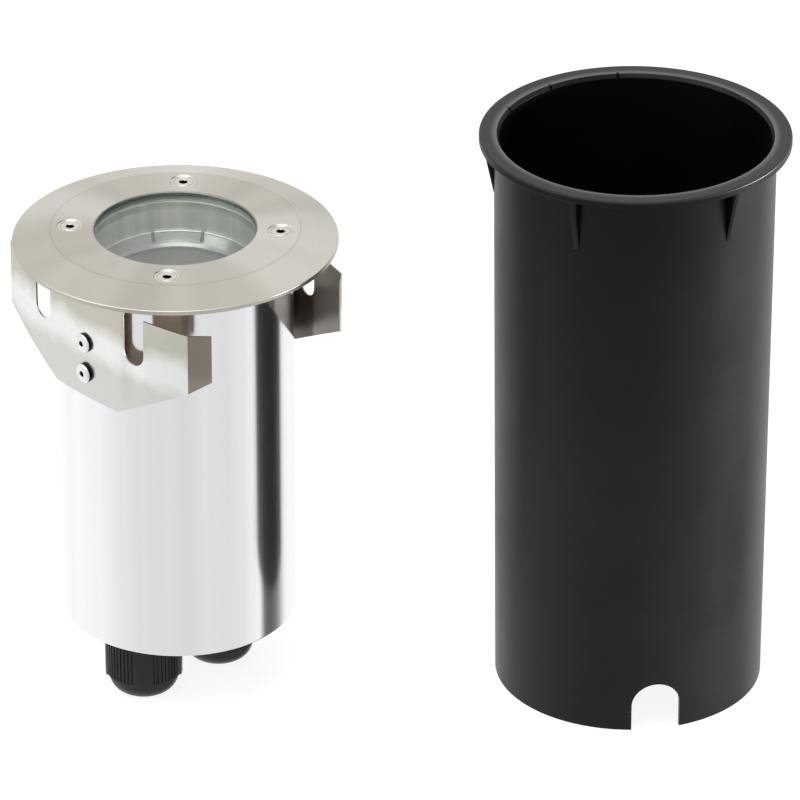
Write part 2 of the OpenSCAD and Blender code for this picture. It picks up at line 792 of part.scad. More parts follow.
module terminal_block() {
    color([0.9, 0.9, 0.86]) at_light() across() translate([terminal_x, 0, base_top_z]) difference() {
        translate([-terminal_d / 2, -terminal_w / 2, 0]) cube([terminal_d, terminal_w, terminal_h]);
        translate([0, 0, -over]) cylinder(d = pan_screw_d + 2 * hole_play, h = terminal_h + 2 * over);
        translate([0, 0, terminal_floor]) cylinder(d = pan_head_d + 2 * hole_play, h = terminal_h);
        for (side = [-1, 1])
            translate([0, side * terminal_pitch / 2, terminal_h - terminal_port_d])
                cylinder(d = terminal_port_d, h = terminal_port_d + over);
    }
}

// Small screws: bracket, terminal block, earth, and heat sink
module pan_screws() {
    color([0.6, 0.6, 0.6]) at_light() {
        across() translate([0, 0, base_top_z]) {
            bracket_screw_places() translate([0, 0, bracket_t])
                pan_screw(pan_screw_d, pan_head_d, pan_head_h, bracket_t + pan_tapped - seat_gap);
            translate([terminal_x, 0, terminal_floor])
                pan_screw(pan_screw_d, pan_head_d, pan_head_h, terminal_floor + pan_tapped - seat_gap);
            pan_screw(pan_screw_d, pan_head_d, pan_head_h, pan_tapped - seat_gap);
        }
        sink_screw_places() translate([0, 0, carrier_z - sink_plate_t]) rotate([180, 0, 0])
            pan_screw(pan_screw_d, pan_head_d, pan_head_h, sink_plate_t + pan_tapped - seat_gap);
    }
}

// A lead that rises, turns through a quarter circle and runs on along X
module rising_lead(wire_d, rise, run) {
    cylinder(d = wire_d, h = rise);
    translate([lead_bend_r, 0, rise]) rotate([90, 0, 180])
        rotate_extrude(angle = 90) translate([lead_bend_r, 0]) circle(d = wire_d);
    translate([lead_bend_r, 0, rise + lead_bend_r]) rotate([0, 90, 0]) cylinder(d = wire_d, h = run);
}

module mains_leads() {
    start_z = base_top_z + terminal_h - terminal_port_d;
    rise = driver_z + lead_bend_r - start_z;
    run = bracket_x - driver_d - terminal_x - lead_bend_r;
    color([0.45, 0.3, 0.2]) at_light() across()
        for (side = [-1, 1])
            translate([terminal_x, side * terminal_pitch / 2, start_z])
                rising_lead(lead_d, rise, run);
}

module lamp_leads() {
    end_z = carrier_z + board_t + lead_d / 2 + fit_gap;
    run = lead_hole_r - lead_bend_r - board_w / 2 + lead_on_board;
    color([0.75, 0.15, 0.12]) at_light() rotate([0, 0, lead_side])
        for (side = [-1, 1])
            translate([lead_hole_r, side * lead_pitch / 2, driver_top_z]) rotate([0, 0, 180])
                rising_lead(lead_d, end_z - lead_bend_r - driver_top_z, run);
}

module earth_lead() {
    color([0.35, 0.6, 0.2]) at_light() across() translate([0, 0, base_top_z + pan_head_h]) rotate([0, 0, 180])
        rising_lead(earth_d, terminal_h / 2 - lead_bend_r, -terminal_x - terminal_d / 2 - lead_bend_r);
}

// Cable glands: body with clamping claws, seal, washer, locknut and domed cap nut
module gland_body(side) {
    top = base_top_z + gland_rise;
    color([0.08, 0.08, 0.08]) at_light() at_gland(side) difference() {
        union() {
            translate([0, 0, gland_skirt_z]) cylinder(d = nut_thread_d, h = nut_z - gland_skirt_z);
            translate([0, 0, nut_z]) rotate([0, 0, 30])
                cylinder(d = gland_hex_af / cos(30), h = gland_hex_h, $fn = 6);
            translate([0, 0, nut_z]) cylinder(d = gland_thread_d, h = top - nut_z);
        }
        cylinder(d = gland_bore_d, h = top + over);
        cylinder(d = nut_thread_d - 2 * gland_seat_wall, h = seal_z + seal_h);
        for (i = [0:claw_n / 2 - 1])
            rotate([0, 0, i * 360 / claw_n]) translate([-nut_d / 2, -claw_w / 2, gland_skirt_z - over])
                cube([nut_d, claw_w, claw_h + over]);
    }
}

module gland_body_left() {
    gland_body(-1);
}

module gland_body_right() {
    gland_body(1);
}

module gland_seal(side) {
    color([0.2, 0.2, 0.2]) at_light() at_gland(side) translate([0, 0, seal_z])
        ring(nut_thread_d - 2 * gland_seat_wall - 2 * fit_gap, cable_bore_d, seal_h);
}

module gland_seal_left() {
    gland_seal(-1);
}

module gland_seal_right() {
    gland_seal(1);
}

module gland_washers() {
    color([0.15, 0.15, 0.15]) at_light()
        for (side = [-1, 1])
            at_gland(side) translate([0, 0, tube_z - gland_washer_t])
                ring(gland_hex_af, gland_thread_d + 2 * fit_gap, gland_washer_t);
}

module gland_locknuts() {
    color([0.08, 0.08, 0.08]) at_light()
        for (side = [-1, 1])
            at_gland(side) translate([0, 0, base_top_z]) difference() {
                rotate([0, 0, 30]) cylinder(d = gland_hex_af / cos(30), h = locknut_h, $fn = 6);
                translate([0, 0, -over])
                    cylinder(d = gland_thread_d + 2 * thread_gap, h = locknut_h + 2 * over);
            }
}

module gland_nut(side) {
    r = nut_d / 2;
    inner_r = nut_thread_d / 2 + thread_gap;
    exit_r = cable_bore_d / 2 + nut_exit_play;
    groove = nut_groove * sqrt(2);
    color([0.06, 0.06, 0.06]) at_light() at_gland(side) difference() {
        turned([
            [exit_r, 0], [r * dome_r_shares[0], nut_dome_h * dome_z_shares[0]],
            [r * dome_r_shares[1], nut_dome_h * dome_z_shares[1]],
            [r * dome_r_shares[2], nut_dome_h * dome_z_shares[2]],
            [r, nut_dome_h], [r, nut_h - nut_edge], [r - nut_edge, nut_h],
            [inner_r, nut_h], [inner_r, nut_cone_top], [exit_r, nut_lip_z]
        ]);
        for (grip = [0:grip_n - 1], i = [0:groove_n - 1])
            rotate([0, 0, grip_turn + grip * 360 / grip_n + (i - (groove_n - 1) / 2) * groove_step])
                translate([r, 0, nut_dome_h + grip_rise]) rotate([0, 0, 45])
                    translate([-groove / 2, -groove / 2, 0]) cube([groove, groove, nut_h]);
    }
}

module gland_nut_left() {
    gland_nut(-1);
}

module gland_nut_right() {
    gland_nut(1);
}

// Ground sleeve: a drafted tube with a flange, webs, a chamfered mouth and a cable arch
module sleeve_web() {
    root_r = sleeve_foot_d / 2 - sleeve_wall / 2;
    edge_r = flange_d / 2 - web_edge_gap;
    translate([0, web_t / 2, 0]) rotate([90, 0, 0]) linear_extrude(web_t) polygon([
        [root_r, flange_z + flange_t / 2], [edge_r, flange_z + flange_t / 2], [edge_r, flange_z],
        [sleeve_d / 2, flange_z - web_h], [root_r, flange_z - web_h]
    ]);
}

module sleeve_bore() {
    foot_r = sleeve_foot_bore_d / 2;
    bore_r = sleeve_bore_d / 2;
    turned([
        [0, -over], [foot_r, -over], [foot_r, 0], [bore_r, sleeve_h - mouth_chamfer],
        [bore_r + mouth_out, sleeve_h], [bore_r + mouth_out, sleeve_h + over], [0, sleeve_h + over]
    ]);
}

module ground_sleeve() {
    flange_r = flange_d / 2;
    color([0.13, 0.13, 0.13]) difference() {
        union() {
            turned([
                [0, 0], [sleeve_foot_d / 2, 0], [sleeve_d / 2, flange_z], [flange_r, flange_z],
                [flange_r, sleeve_h - flange_edge], [flange_r - flange_edge, sleeve_h], [0, sleeve_h]
            ]);
            for (side = [-1, 1], i = [0:web_side_n - 1])
                rotate([0, 0, web_turn - 90 + side * (i + 0.5) * web_pitch]) sleeve_web();
        }
        sleeve_bore();
        rotate([90, 0, arch_turn]) {
            translate([0, arch_h - arch_w / 2, 0]) cylinder(d = arch_w, h = sleeve_d);
            translate([-arch_w / 2, -over, 0]) cube([arch_w, arch_h - arch_w / 2 + over, sleeve_d]);
        }
        for (notch_turn = notch_turns)
            rotate([0, 0, notch_turn]) translate([0, -notch_w / 2, sleeve_h - mouth_chamfer])
                cube([sleeve_bore_d / 2 + notch_in, notch_w, mouth_chamfer + over]);
    }
}

ground_sleeve();
housing_tube();
base_plate();
base_seal();
base_screws();
spring_clip_front();
spring_clip_rear();
clip_rivets();
lamp_cup();
carrier_plate();
carrier_screws();
lamp_board();
lamp_emitter();
board_holder();
holder_screws();
heat_sink();
lamp_driver();
driver_bracket();
terminal_block();
pan_screws();
mains_leads();
lamp_leads();
earth_lead();
gland_body_left();
gland_body_right();
gland_seal_left();
gland_seal_right();
gland_washers();
gland_locknuts();
gland_nut_left();
gland_nut_right();
glass_lens();
glass_gasket();
cover_ring();
cover_screws();
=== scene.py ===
import math

import bmesh
import bpy
from mathutils import Matrix, Vector


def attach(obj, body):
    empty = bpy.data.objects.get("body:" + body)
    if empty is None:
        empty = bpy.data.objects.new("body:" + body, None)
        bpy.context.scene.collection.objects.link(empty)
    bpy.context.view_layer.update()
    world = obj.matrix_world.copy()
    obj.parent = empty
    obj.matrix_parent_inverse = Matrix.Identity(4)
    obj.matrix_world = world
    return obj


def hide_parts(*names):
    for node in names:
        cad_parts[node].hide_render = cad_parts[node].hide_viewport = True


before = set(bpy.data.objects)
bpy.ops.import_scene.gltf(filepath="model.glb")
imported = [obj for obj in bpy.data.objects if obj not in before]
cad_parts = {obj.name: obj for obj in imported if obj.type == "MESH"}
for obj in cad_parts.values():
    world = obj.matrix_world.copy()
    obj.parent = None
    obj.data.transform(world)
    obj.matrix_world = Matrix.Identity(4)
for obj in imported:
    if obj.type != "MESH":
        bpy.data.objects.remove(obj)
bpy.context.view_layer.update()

# In-ground well light beside its black ground sleeve. Meshes are made in millimetres, and each
# finished one is put in its place and turned into metres. Materials count in metres.

# Place of the light beside the sleeve, and of its two glands
LIGHT_X, LIGHT_Y, LIGHT_TURN = -175.6, -4.8, -3.0
LIGHT_AXIS = (LIGHT_X / 1000, LIGHT_Y / 1000)
GLAND_TURN, GLAND_PITCH = 45, 38.6
# Housing tube: its top, which the cover ring rests on, its foot, its ledge for the cup, its radius
TOP_Z, TUBE_Z, CARRIER_TOP_Z, TUBE_R = 188.9, 31.6, 168.6, 45.2
# Cover ring in its middle and at its edge, the height of the glass above the tube's top, and the
# pocket in the tube that takes the rest of the glass and its gasket
COVER_T, COVER_EDGE_T = 5.6, 1.7
GLASS_TOP, GLASS_T, GASKET_T = 3.9, 5.0, 0.9
POCKET = GLASS_T - GLASS_TOP + GASKET_T


def shift(x=0.0, y=0.0, z=0.0):
    return Matrix.Translation((x, y, z))


def turn(angle, axis="Z"):
    return Matrix.Rotation(math.radians(angle), 4, axis)


TO_METRES = Matrix.Scale(0.001, 4)
AT_LIGHT = TO_METRES @ shift(LIGHT_X, LIGHT_Y) @ turn(LIGHT_TURN)


def at_gland(side):
    """The place of the left gland with side -1, of the right one with side 1."""
    return AT_LIGHT @ turn(GLAND_TURN) @ shift(side * GLAND_PITCH / 2)


# Camera, at the photograph's angle

scene = bpy.context.scene
camera = bpy.data.objects.new("camera", bpy.data.cameras.new("camera"))
scene.collection.objects.link(camera)
camera.location = (-0.0897, -2.7379, 1.5675)
camera.rotation_euler = (math.radians(62.094), 0, 0)
camera.data.lens = 360
camera.data.sensor_width = 36
camera.data.clip_start = 0.05
camera.data.clip_end = 50
scene.camera = camera
scene.view_settings.view_transform = "Standard"


# Shader helpers and the node groups that several finishes share

class Tree:
    """Short calls for building a node tree."""

    def __init__(self, tree):
        self.tree = tree

    def feed(self, socket, value):
        """Links another node's socket to this one, or sets a plain value."""
        if isinstance(value, bpy.types.NodeSocket):
            self.tree.links.new(value, socket)
        else:
            socket.default_value = value

    def node(self, kind, inputs=None, **settings):
        made = self.tree.nodes.new(kind)
        for key, value in settings.items():
            setattr(made, key, value)
        for key, value in (inputs or {}).items():
            self.feed(made.inputs[key], value)
        return made

    def math(self, operation, *values):
        made = self.tree.nodes.new("ShaderNodeMath")
        made.operation = operation
        for socket, value in zip(made.inputs, values):
            self.feed(socket, value)
        return made.outputs[0]

    def spread(self, value, low, high, to_low=0.0, to_high=1.0):
        made = self.node("ShaderNodeMapRange", {
            "Value": value, "From Min": low, "From Max": high, "To Min": to_low, "To Max": to_high})
        return made.outputs[0]

    def blend(self, share, first, second):
        made = self.tree.nodes.new("ShaderNodeMix")
        made.data_type = "RGBA"
        self.feed(made.inputs[0], share)
        self.feed(made.inputs[6], first)
        self.feed(made.inputs[7], second)
        return made.outputs[2]

    def height(self, place):
        return self.node("ShaderNodeSeparateXYZ", {0: place}).outputs[2]

    def marked(self, name):
        """The share that the mesh's own vertex attribute gives."""
        made = self.node("ShaderNodeAttribute", attribute_type="GEOMETRY", attribute_name=name)
        return made.outputs["Fac"]


def shader_group(name, inputs, outputs):
    """A new shader node group, with the sockets that it is given and the sockets that it gives."""
    tree = bpy.data.node_groups.new(name, "ShaderNodeTree")
    for label, kind, value in inputs:
        socket = tree.interface.new_socket(label, in_out="INPUT", socket_type=kind)
        if value is not None:
            socket.default_value = value
    for label, kind in outputs:
        tree.interface.new_socket(label, in_out="OUTPUT", socket_type=kind)
    return Tree(tree), tree.nodes.new("NodeGroupInput").outputs, tree.nodes.new("NodeGroupOutput").inputs


def make_turning_marks():
    """Fine rings about Z, as a lathe leaves them: on flat faces by distance from the axis."""
    t, given, out = shader_group(
        "turning marks",
        [("Vector", "NodeSocketVector", None), ("Ring Width", "NodeSocketFloat", 0.0003)],
        [("Marks", "NodeSocketFloat"), ("Sectors", "NodeSocketFloat"), ("Distance", "NodeSocketFloat")])
    split = t.node("ShaderNodeSeparateXYZ", {0: given["Vector"]})
    x, y = split.outputs[0], split.outputs[1]
    distance = t.math("SQRT", t.math("ADD", t.math("MULTIPLY", x, x), t.math("MULTIPLY", y, y)))
    fine = t.node("ShaderNodeTexNoise", {
        "W": t.math("DIVIDE", distance, given["Ring Width"]), "Scale": 1.0, "Detail": 3.0},
        noise_dimensions="1D")
    heading = t.math("ARCTAN2", y, x)
    way = t.node("ShaderNodeCombineXYZ", {
        0: t.math("COSINE", heading), 1: t.math("SINE", heading), 2: 0.0})
    sectors = t.node("ShaderNodeTexNoise", {"Vector": way.outputs[0], "Scale": 1.6, "Detail": 1.0})
    t.feed(out["Marks"], fine.outputs["Fac"])
    t.feed(out["Sectors"], sectors.outputs["Fac"])
    t.feed(out["Distance"], distance)
    return t.tree


def make_drawn_lines():
    """Long lines along Z, as on a drawn tube, by the direction from the axis."""
    t, given, out = shader_group(
        "drawn lines",
        [("Vector", "NodeSocketVector", None), ("Fineness", "NodeSocketFloat", 40.0)],
        [("Lines", "NodeSocketFloat"), ("Bands", "NodeSocketFloat")])
    split = t.node("ShaderNodeSeparateXYZ", {0: given["Vector"]})
    heading = t.math("ARCTAN2", split.outputs[1], split.outputs[0])
    stretched = t.math("MULTIPLY", split.outputs[2], 0.12)
    flat = t.node("ShaderNodeCombineXYZ", {
        0: t.math("COSINE", heading), 1: t.math("SINE", heading), 2: stretched})
    fine = t.node("ShaderNodeTexNoise", {
        "Vector": flat.outputs[0], "Scale": given["Fineness"], "Detail": 4.0, "Roughness": 0.65})
    wide = t.node("ShaderNodeTexNoise", {"Vector": flat.outputs[0], "Scale": 5.0, "Detail": 2.0})
    t.feed(out["Lines"], fine.outputs["Fac"])
    t.feed(out["Bands"], wide.outputs["Fac"])
    return t.tree


def make_surface_grain():
    """Fine grain, soft patches and a few dust specks."""
    t, given, out = shader_group(
        "surface grain",
        [("Vector", "NodeSocketVector", None), ("Grain Scale", "NodeSocketFloat", 2500.0),
         ("Patch Scale", "NodeSocketFloat", 40.0), ("Speck Scale", "NodeSocketFloat", 260.0)],
        [("Grain", "NodeSocketFloat"), ("Patches", "NodeSocketFloat"), ("Specks", "NodeSocketFloat")])
    grain = t.node("ShaderNodeTexNoise", {
        "Vector": given["Vector"], "Scale": given["Grain Scale"], "Detail": 2.0})
    patches = t.node("ShaderNodeTexNoise", {
        "Vector": given["Vector"], "Scale": given["Patch Scale"], "Detail": 4.0, "Roughness": 0.6})
    cells = t.node("ShaderNodeTexVoronoi", {"Vector": given["Vector"], "Scale": given["Speck Scale"]})
    dots = t.spread(cells.outputs["Distance"], 0.03, 0.055, 1.0, 0.0)
    pick = t.spread(cells.outputs["Color"], 0.9, 0.93)
    t.feed(out["Grain"], grain.outputs["Fac"])
    t.feed(out["Patches"], patches.outputs["Fac"])
    t.feed(out["Specks"], t.math("MULTIPLY", dots, pick))
    return t.tree


TURNING_MARKS = make_turning_marks()
DRAWN_LINES = make_drawn_lines()
SURFACE_GRAIN = make_surface_grain()


def finish_of(name, **sockets):
    """A new material with its Principled shader, whose constants are set, and object coordinates."""
    material = bpy.data.materials.new(name)
    material.use_nodes = True
    t = Tree(material.node_tree)
    shader = material.node_tree.nodes["Principled BSDF"]
    for key, value in sockets.items():
        shader.inputs[key.replace("_", " ")].default_value = value
    place = t.node("ShaderNodeTexCoord").outputs["Object"]
    return material, t, shader, place


def centred(t, place, centre):
    """Coordinates about an axis that stands at centre, in metres."""
    return t.node("ShaderNodeMapping", {
        "Vector": place, "Location": (-centre[0], -centre[1], 0.0)}, vector_type="POINT").outputs[0]


def grouped(t, tree, **inputs):
    made = t.tree.nodes.new("ShaderNodeGroup")
    made.node_tree = tree
    for key, value in inputs.items():
        t.feed(made.inputs[key.replace("_", " ")], value)
    return made.outputs


def grained(t, place, grain=1800.0, patches=30.0, specks=200.0):
    """Grain, patches and specks at their scales."""
    return grouped(
        t, SURFACE_GRAIN, Vector=place, Grain_Scale=grain, Patch_Scale=patches, Speck_Scale=specks)


def relief(t, shader, height, depth, strength=1.0):
    """Bumps that reach depth metres, from a height of 0 to 1."""
    bump = t.node("ShaderNodeBump", {"Height": height, "Strength": strength, "Distance": depth})
    t.feed(shader.inputs["Normal"], bump.outputs[0])


def satin_metal(name, light, dark, rough, centre=None, ring=0.0004, marks=0.5, aniso=0.0, painted_bore_shade=None):
    """Metal with turning marks about an axis, or with a plain satin grain. The painted bore shade gives a
    radius, the tone of painted shade within it, and the radius of a fine line of painted shade in that
    tone."""
    material, t, shader, place = finish_of(name, Metallic=1.0, Anisotropic=aniso)
    grain = grained(t, place)
    if centre:
        turned_marks = grouped(t, TURNING_MARKS, Vector=centred(t, place, centre), Ring_Width=ring)
        tone = t.spread(turned_marks["Sectors"], 0.35, 0.65)
        lines = turned_marks["Marks"]
        if aniso:
            tangent = t.node("ShaderNodeTangent", direction_type="RADIAL", axis="Z")
            t.feed(shader.inputs["Tangent"], tangent.outputs[0])
    else:
        tone = t.spread(grain["Patches"], 0.3, 0.7)
        lines = grain["Grain"]
    colour = t.blend(tone, dark, light)
    # Painted shade: within the radius the metal is painted in the dark tone, and a faint line of that
    # tone runs at the other radius.
    if painted_bore_shade:
        bore, painted_shade_tone, line = painted_bore_shade
        colour = t.blend(t.spread(turned_marks["Distance"], bore, bore + 0.0002), painted_shade_tone, colour)
        off_line = t.math("ABSOLUTE", t.math("SUBTRACT", turned_marks["Distance"], line))
        colour = t.blend(t.spread(off_line, 0.0001, 0.0005, 0.3, 0.0), colour, painted_shade_tone)
    t.feed(shader.inputs["Base Color"], colour)
    rough = t.spread(lines, 0.3, 0.7, rough - 0.04 * marks, rough + 0.12 * marks)
    t.feed(shader.inputs["Roughness"], rough)
    relief(t, shader, lines, 3e-6)
    return material


def spring_steel():
    """Satin strip steel with painted light: a warm painted shadow under the cover ring, a painted
    highlight over the middle and painted shade at the foot, with dark painted shade on the back and
    darker painted shade on the fold at one end, both marked by the sheet's own attributes."""
    material, t, shader, place = finish_of("clip_steel", Metallic=1.0)
    grain = grained(t, place, 900.0, 34.0)
    height = t.height(place)
    wave = t.math("ADD", height, t.spread(grain["Patches"], 0.3, 0.7, -0.003, 0.003))
    top = TOP_Z / 1000
    # Painted light by height: the head tone is a painted shadow under the cover ring, the middle tone a
    # painted highlight, the foot tone painted shade.
    middle, foot, head = (0.86, 0.86, 0.845, 1), (0.66, 0.66, 0.63, 1), (0.56, 0.55, 0.475, 1)
    colour = t.blend(t.spread(wave, top - 0.0356, top - 0.0296), foot, middle)
    colour = t.blend(t.spread(wave, top - 0.0236, top - 0.0166), colour, head)
    fade = t.spread(height, top - 0.0275, top - 0.0235, 0.92, 1.0)
    # Painted shade on the back and on the fold, by the sheet's own attributes, slightly less of it lower
    # on the sheet.
    back = t.math("MULTIPLY", t.marked("back"), fade)
    colour = t.blend(t.math("MULTIPLY", t.marked("fold"), fade), colour, (0.27, 0.23, 0.185, 1))
    t.feed(shader.inputs["Base Color"], t.blend(back, colour, (0.19, 0.148, 0.112, 1)))
    rough = t.spread(grain["Patches"], 0.3, 0.7, 0.22, 0.30)
    t.feed(shader.inputs["Roughness"], t.math("ADD", rough, t.math("MULTIPLY", back, 0.2)))
    relief(t, shader, grain["Patches"], 2.5e-4, 0.5)
    return material


def drawn_aluminium():
    """Bright drawn tube, with long fine lines outside and plain turned walls inside."""
    material, t, shader, place = finish_of("housing_aluminium", Metallic=1.0)
    on_axis = centred(t, place, LIGHT_AXIS)
    lines = grouped(t, DRAWN_LINES, Vector=on_axis, Fineness=60.0)
    tone = t.spread(lines["Bands"], 0.35, 0.65)
    distance = grouped(t, TURNING_MARKS, Vector=on_axis)["Distance"]
    outside = t.blend(tone, (0.90, 0.905, 0.92, 1), (0.95, 0.953, 0.96, 1))
    inside = t.blend(tone, (0.62, 0.635, 0.605, 1), (0.84, 0.86, 0.83, 1))
    beyond = t.spread(distance, 0.0436, 0.044)
    t.feed(shader.inputs["Base Color"], t.blend(beyond, inside, outside))
    rough_outside = t.spread(lines["Lines"], 0.3, 0.7, 0.10, 0.20)
    more_inside = t.spread(beyond, 0.0, 1.0, 0.3, 0.0)
    t.feed(shader.inputs["Roughness"], t.math("ADD", rough_outside, more_inside))
    relief(t, shader, lines["Lines"], 1.5e-5, 0.35)
    return material


def spun_aluminium():
    """Spun sheet: satin walls with a painted highlight on the bead of the rim."""
    material, t, shader, place = finish_of("cup_aluminium", Metallic=1.0)
    marks = grouped(t, TURNING_MARKS, Vector=centred(t, place, LIGHT_AXIS), Ring_Width=0.0002)
    sectors = t.spread(marks["Sectors"], 0.35, 0.65)
    colour = t.blend(sectors, (0.24, 0.25, 0.235, 1), (0.34, 0.35, 0.33, 1))
    base = CARRIER_TOP_Z / 1000
    # Painted highlight: a bright band along the rim's bead.
    bead_highlight = t.spread(t.height(place), base + 0.0057, base + 0.0059)
    t.feed(shader.inputs["Base Color"], t.blend(bead_highlight, colour, (0.80, 0.81, 0.78, 1)))
    t.feed(shader.inputs["Roughness"], t.spread(marks["Marks"], 0.3, 0.7, 0.18, 0.28))
    relief(t, shader, marks["Marks"], 3e-6)
    return material


def sleeve_plastic():
    """Black moulded plastic with a few specks of dust: painted shade inside, a painted shadow darkening
    it towards the flange, and the flange's top painted lighter with a painted highlight on its inner
    edge."""
    material, t, shader, place = finish_of("sleeve_plastic")
    shader.inputs["Specular IOR Level"].default_value = 0.2
    grain = grained(t, place, 1600.0, 18.0, 230.0)
    height = t.height(place)
    patches = t.spread(grain["Patches"], 0.35, 0.7)
    colour = t.blend(patches, (0.0065, 0.0065, 0.007, 1), (0.0105, 0.0105, 0.011, 1))
    # Painted shadow under the flange: darker towards the top.
    colour = t.blend(t.spread(height, 0.09, 0.215), colour, (0.0004, 0.0004, 0.0004, 1))
    colour = t.blend(t.math("MULTIPLY", grain["Specks"], 0.45), colour, (0.3, 0.3, 0.28, 1))
    distance = grouped(t, TURNING_MARKS, Vector=place)["Distance"]
    # Painted light: the flange's top is painted lighter, with a painted highlight along its inner edge.
    lip = t.spread(distance, 0.0532, 0.0556, 1.0, 0.0)
    flange = t.blend(lip, (0.017, 0.017, 0.016, 1), (0.12, 0.12, 0.116, 1))
    colour = t.blend(t.spread(height, 0.2316, 0.2321), colour, flange)
    # Painted shade inside the sleeve's bore.
    wall = t.math("SUBTRACT", distance, t.math("MULTIPLY", height, 0.00782))
    colour = t.blend(t.spread(wall, 0.0511, 0.0513), (0.0012, 0.0012, 0.0012, 1), colour)
    t.feed(shader.inputs["Base Color"], colour)
    t.feed(shader.inputs["Roughness"], t.spread(grain["Patches"], 0.3, 0.7, 0.33, 0.42))
    relief(t, shader, grain["Grain"], 5e-6)
    return material


def fastener(name, light, dark, rough, shade):
    """Bright heads of screws or rivets, with painted shade in their recesses and at their edges where the
    mesh is marked.
    """
    material, t, shader, place = finish_of(name, Metallic=1.0)
    patches = grained(t, place, patches=200.0)["Patches"]
    colour = t.blend(t.spread(patches, 0.3, 0.7), dark, light)
    t.feed(shader.inputs["Base Color"], t.blend(t.marked("dark"), colour, shade))
    t.feed(shader.inputs["Roughness"], t.spread(patches, 0.3, 0.7, rough - 0.05, rough + 0.05))
    relief(t, shader, patches, 4e-5, 0.5)
    return material


def moulded(name, light, dark, rough, gloss=0.5, depth=6e-6):
    """Moulded plastic or rubber, with soft patches and a fine grain."""
    material, t, shader, place = finish_of(name)
    shader.inputs["Specular IOR Level"].default_value = gloss
    grain = grained(t, place, 2200.0, 25.0, 230.0)
    t.feed(shader.inputs["Base Color"], t.blend(t.spread(grain["Patches"], 0.35, 0.7), dark, light))
    t.feed(shader.inputs["Roughness"], t.spread(grain["Patches"], 0.3, 0.7, rough - 0.05, rough + 0.07))
    relief(t, shader, grain["Grain"], depth)
    return material


def lens_glass():
    """Greenish float glass. Lamps shine through it as through clear air."""
    material, t, shader, place = finish_of("lens_glass", Transmission_Weight=1.0, IOR=1.5, Metallic=0.0)
    grain = grained(t, place, 900.0, 60.0, 150.0)
    patches = t.spread(grain["Patches"], 0.4, 0.7)
    colour = t.blend(patches, (0.86, 0.885, 0.855, 1), (0.885, 0.905, 0.88, 1))
    t.feed(shader.inputs["Base Color"], colour)
    t.feed(shader.inputs["Roughness"], t.math("MULTIPLY", grain["Specks"], 0.25))
    clear = t.node("ShaderNodeBsdfTransparent", {"Color": (0.86, 0.92, 0.89, 1)})
    path = t.node("ShaderNodeLightPath")
    mix = t.node("ShaderNodeMixShader", {
        0: path.outputs["Is Shadow Ray"], 1: shader.outputs[0], 2: clear.outputs[0]})
    t.feed(material.node_tree.nodes["Material Output"].inputs["Surface"], mix.outputs[0])
    return material


# The cover's bore is painted dark green as painted shade, with a faint line of painted shade where the
# bevel meets the flat.
COVER_STEEL = satin_metal(
    "cover_steel", (0.615, 0.595, 0.54, 1), (0.485, 0.462, 0.40, 1), 0.30, LIGHT_AXIS, 0.00035, 0.8, 0.55,
    painted_bore_shade=(0.0314, (0.22, 0.245, 0.225, 1), 0.0479))
# The last colour of each fastener is the painted shade at its marked places.
SCREW_STEEL = fastener(
    "screw_steel", (0.70, 0.68, 0.62, 1), (0.60, 0.58, 0.52, 1), 0.26, (0.05, 0.045, 0.04, 1))
CLIP_STEEL = spring_steel()
RIVET_ALUMINIUM = fastener(
    "rivet_aluminium", (0.90, 0.90, 0.91, 1), (0.74, 0.75, 0.77, 1), 0.19, (0.012, 0.012, 0.012, 1))
HOUSING_ALUMINIUM = drawn_aluminium()
CUP_ALUMINIUM = spun_aluminium()
CARRIER_ALUMINIUM = satin_metal(
    "carrier_aluminium", (0.155, 0.165, 0.135, 1), (0.115, 0.125, 0.10, 1), 0.50)
BASE_ALUMINIUM = satin_metal(
    "base_aluminium", (0.62, 0.63, 0.64, 1), (0.52, 0.53, 0.54, 1), 0.34, LIGHT_AXIS)
SINK_ALUMINIUM = satin_metal("sink_aluminium", (0.60, 0.61, 0.62, 1), (0.50, 0.51, 0.52, 1), 0.40)
ZINC_SCREW = satin_metal("zinc_screw", (0.66, 0.67, 0.66, 1), (0.55, 0.56, 0.55, 1), 0.32)
ZINC_SHEET = satin_metal("zinc_sheet", (0.62, 0.63, 0.63, 1), (0.50, 0.51, 0.51, 1), 0.36)
LENS_GLASS = lens_glass()
SEAL_RUBBER = moulded("seal_rubber", (0.018, 0.018, 0.018, 1), (0.012, 0.012, 0.012, 1), 0.62)
SEAL_SILICONE = moulded("seal_silicone", (0.42, 0.45, 0.43, 1), (0.34, 0.37, 0.35, 1), 0.45)
GLAND_NYLON = moulded("gland_nylon", (0.010, 0.010, 0.011, 1), (0.006, 0.006, 0.007, 1), 0.36, 0.4, 4e-6)
SLEEVE_PLASTIC = sleeve_plastic()
BOARD_WHITE = moulded("board_white", (0.86, 0.86, 0.83, 1), (0.80, 0.80, 0.77, 1), 0.40)
EMITTER_YELLOW = moulded("emitter_yellow", (0.88, 0.66, 0.10, 1), (0.80, 0.58, 0.08, 1), 0.35)
HOLDER_WHITE = moulded("holder_white", (0.84, 0.84, 0.81, 1), (0.78, 0.78, 0.75, 1), 0.42)
DRIVER_WHITE = moulded("driver_white", (0.80, 0.80, 0.77, 1), (0.73, 0.73, 0.70, 1), 0.45)
TERMINAL_CREAM = moulded("terminal_cream", (0.74, 0.72, 0.64, 1), (0.68, 0.66, 0.58, 1), 0.40)
LEAD_BROWN = moulded("lead_brown", (0.17, 0.08, 0.04, 1), (0.12, 0.055, 0.03, 1), 0.40)
LEAD_RED = moulded("lead_red", (0.50, 0.02, 0.015, 1), (0.40, 0.015, 0.01, 1), 0.40)
LEAD_GREEN = moulded("lead_green", (0.10, 0.32, 0.05, 1), (0.07, 0.25, 0.035, 1), 0.40)


# Mesh helpers

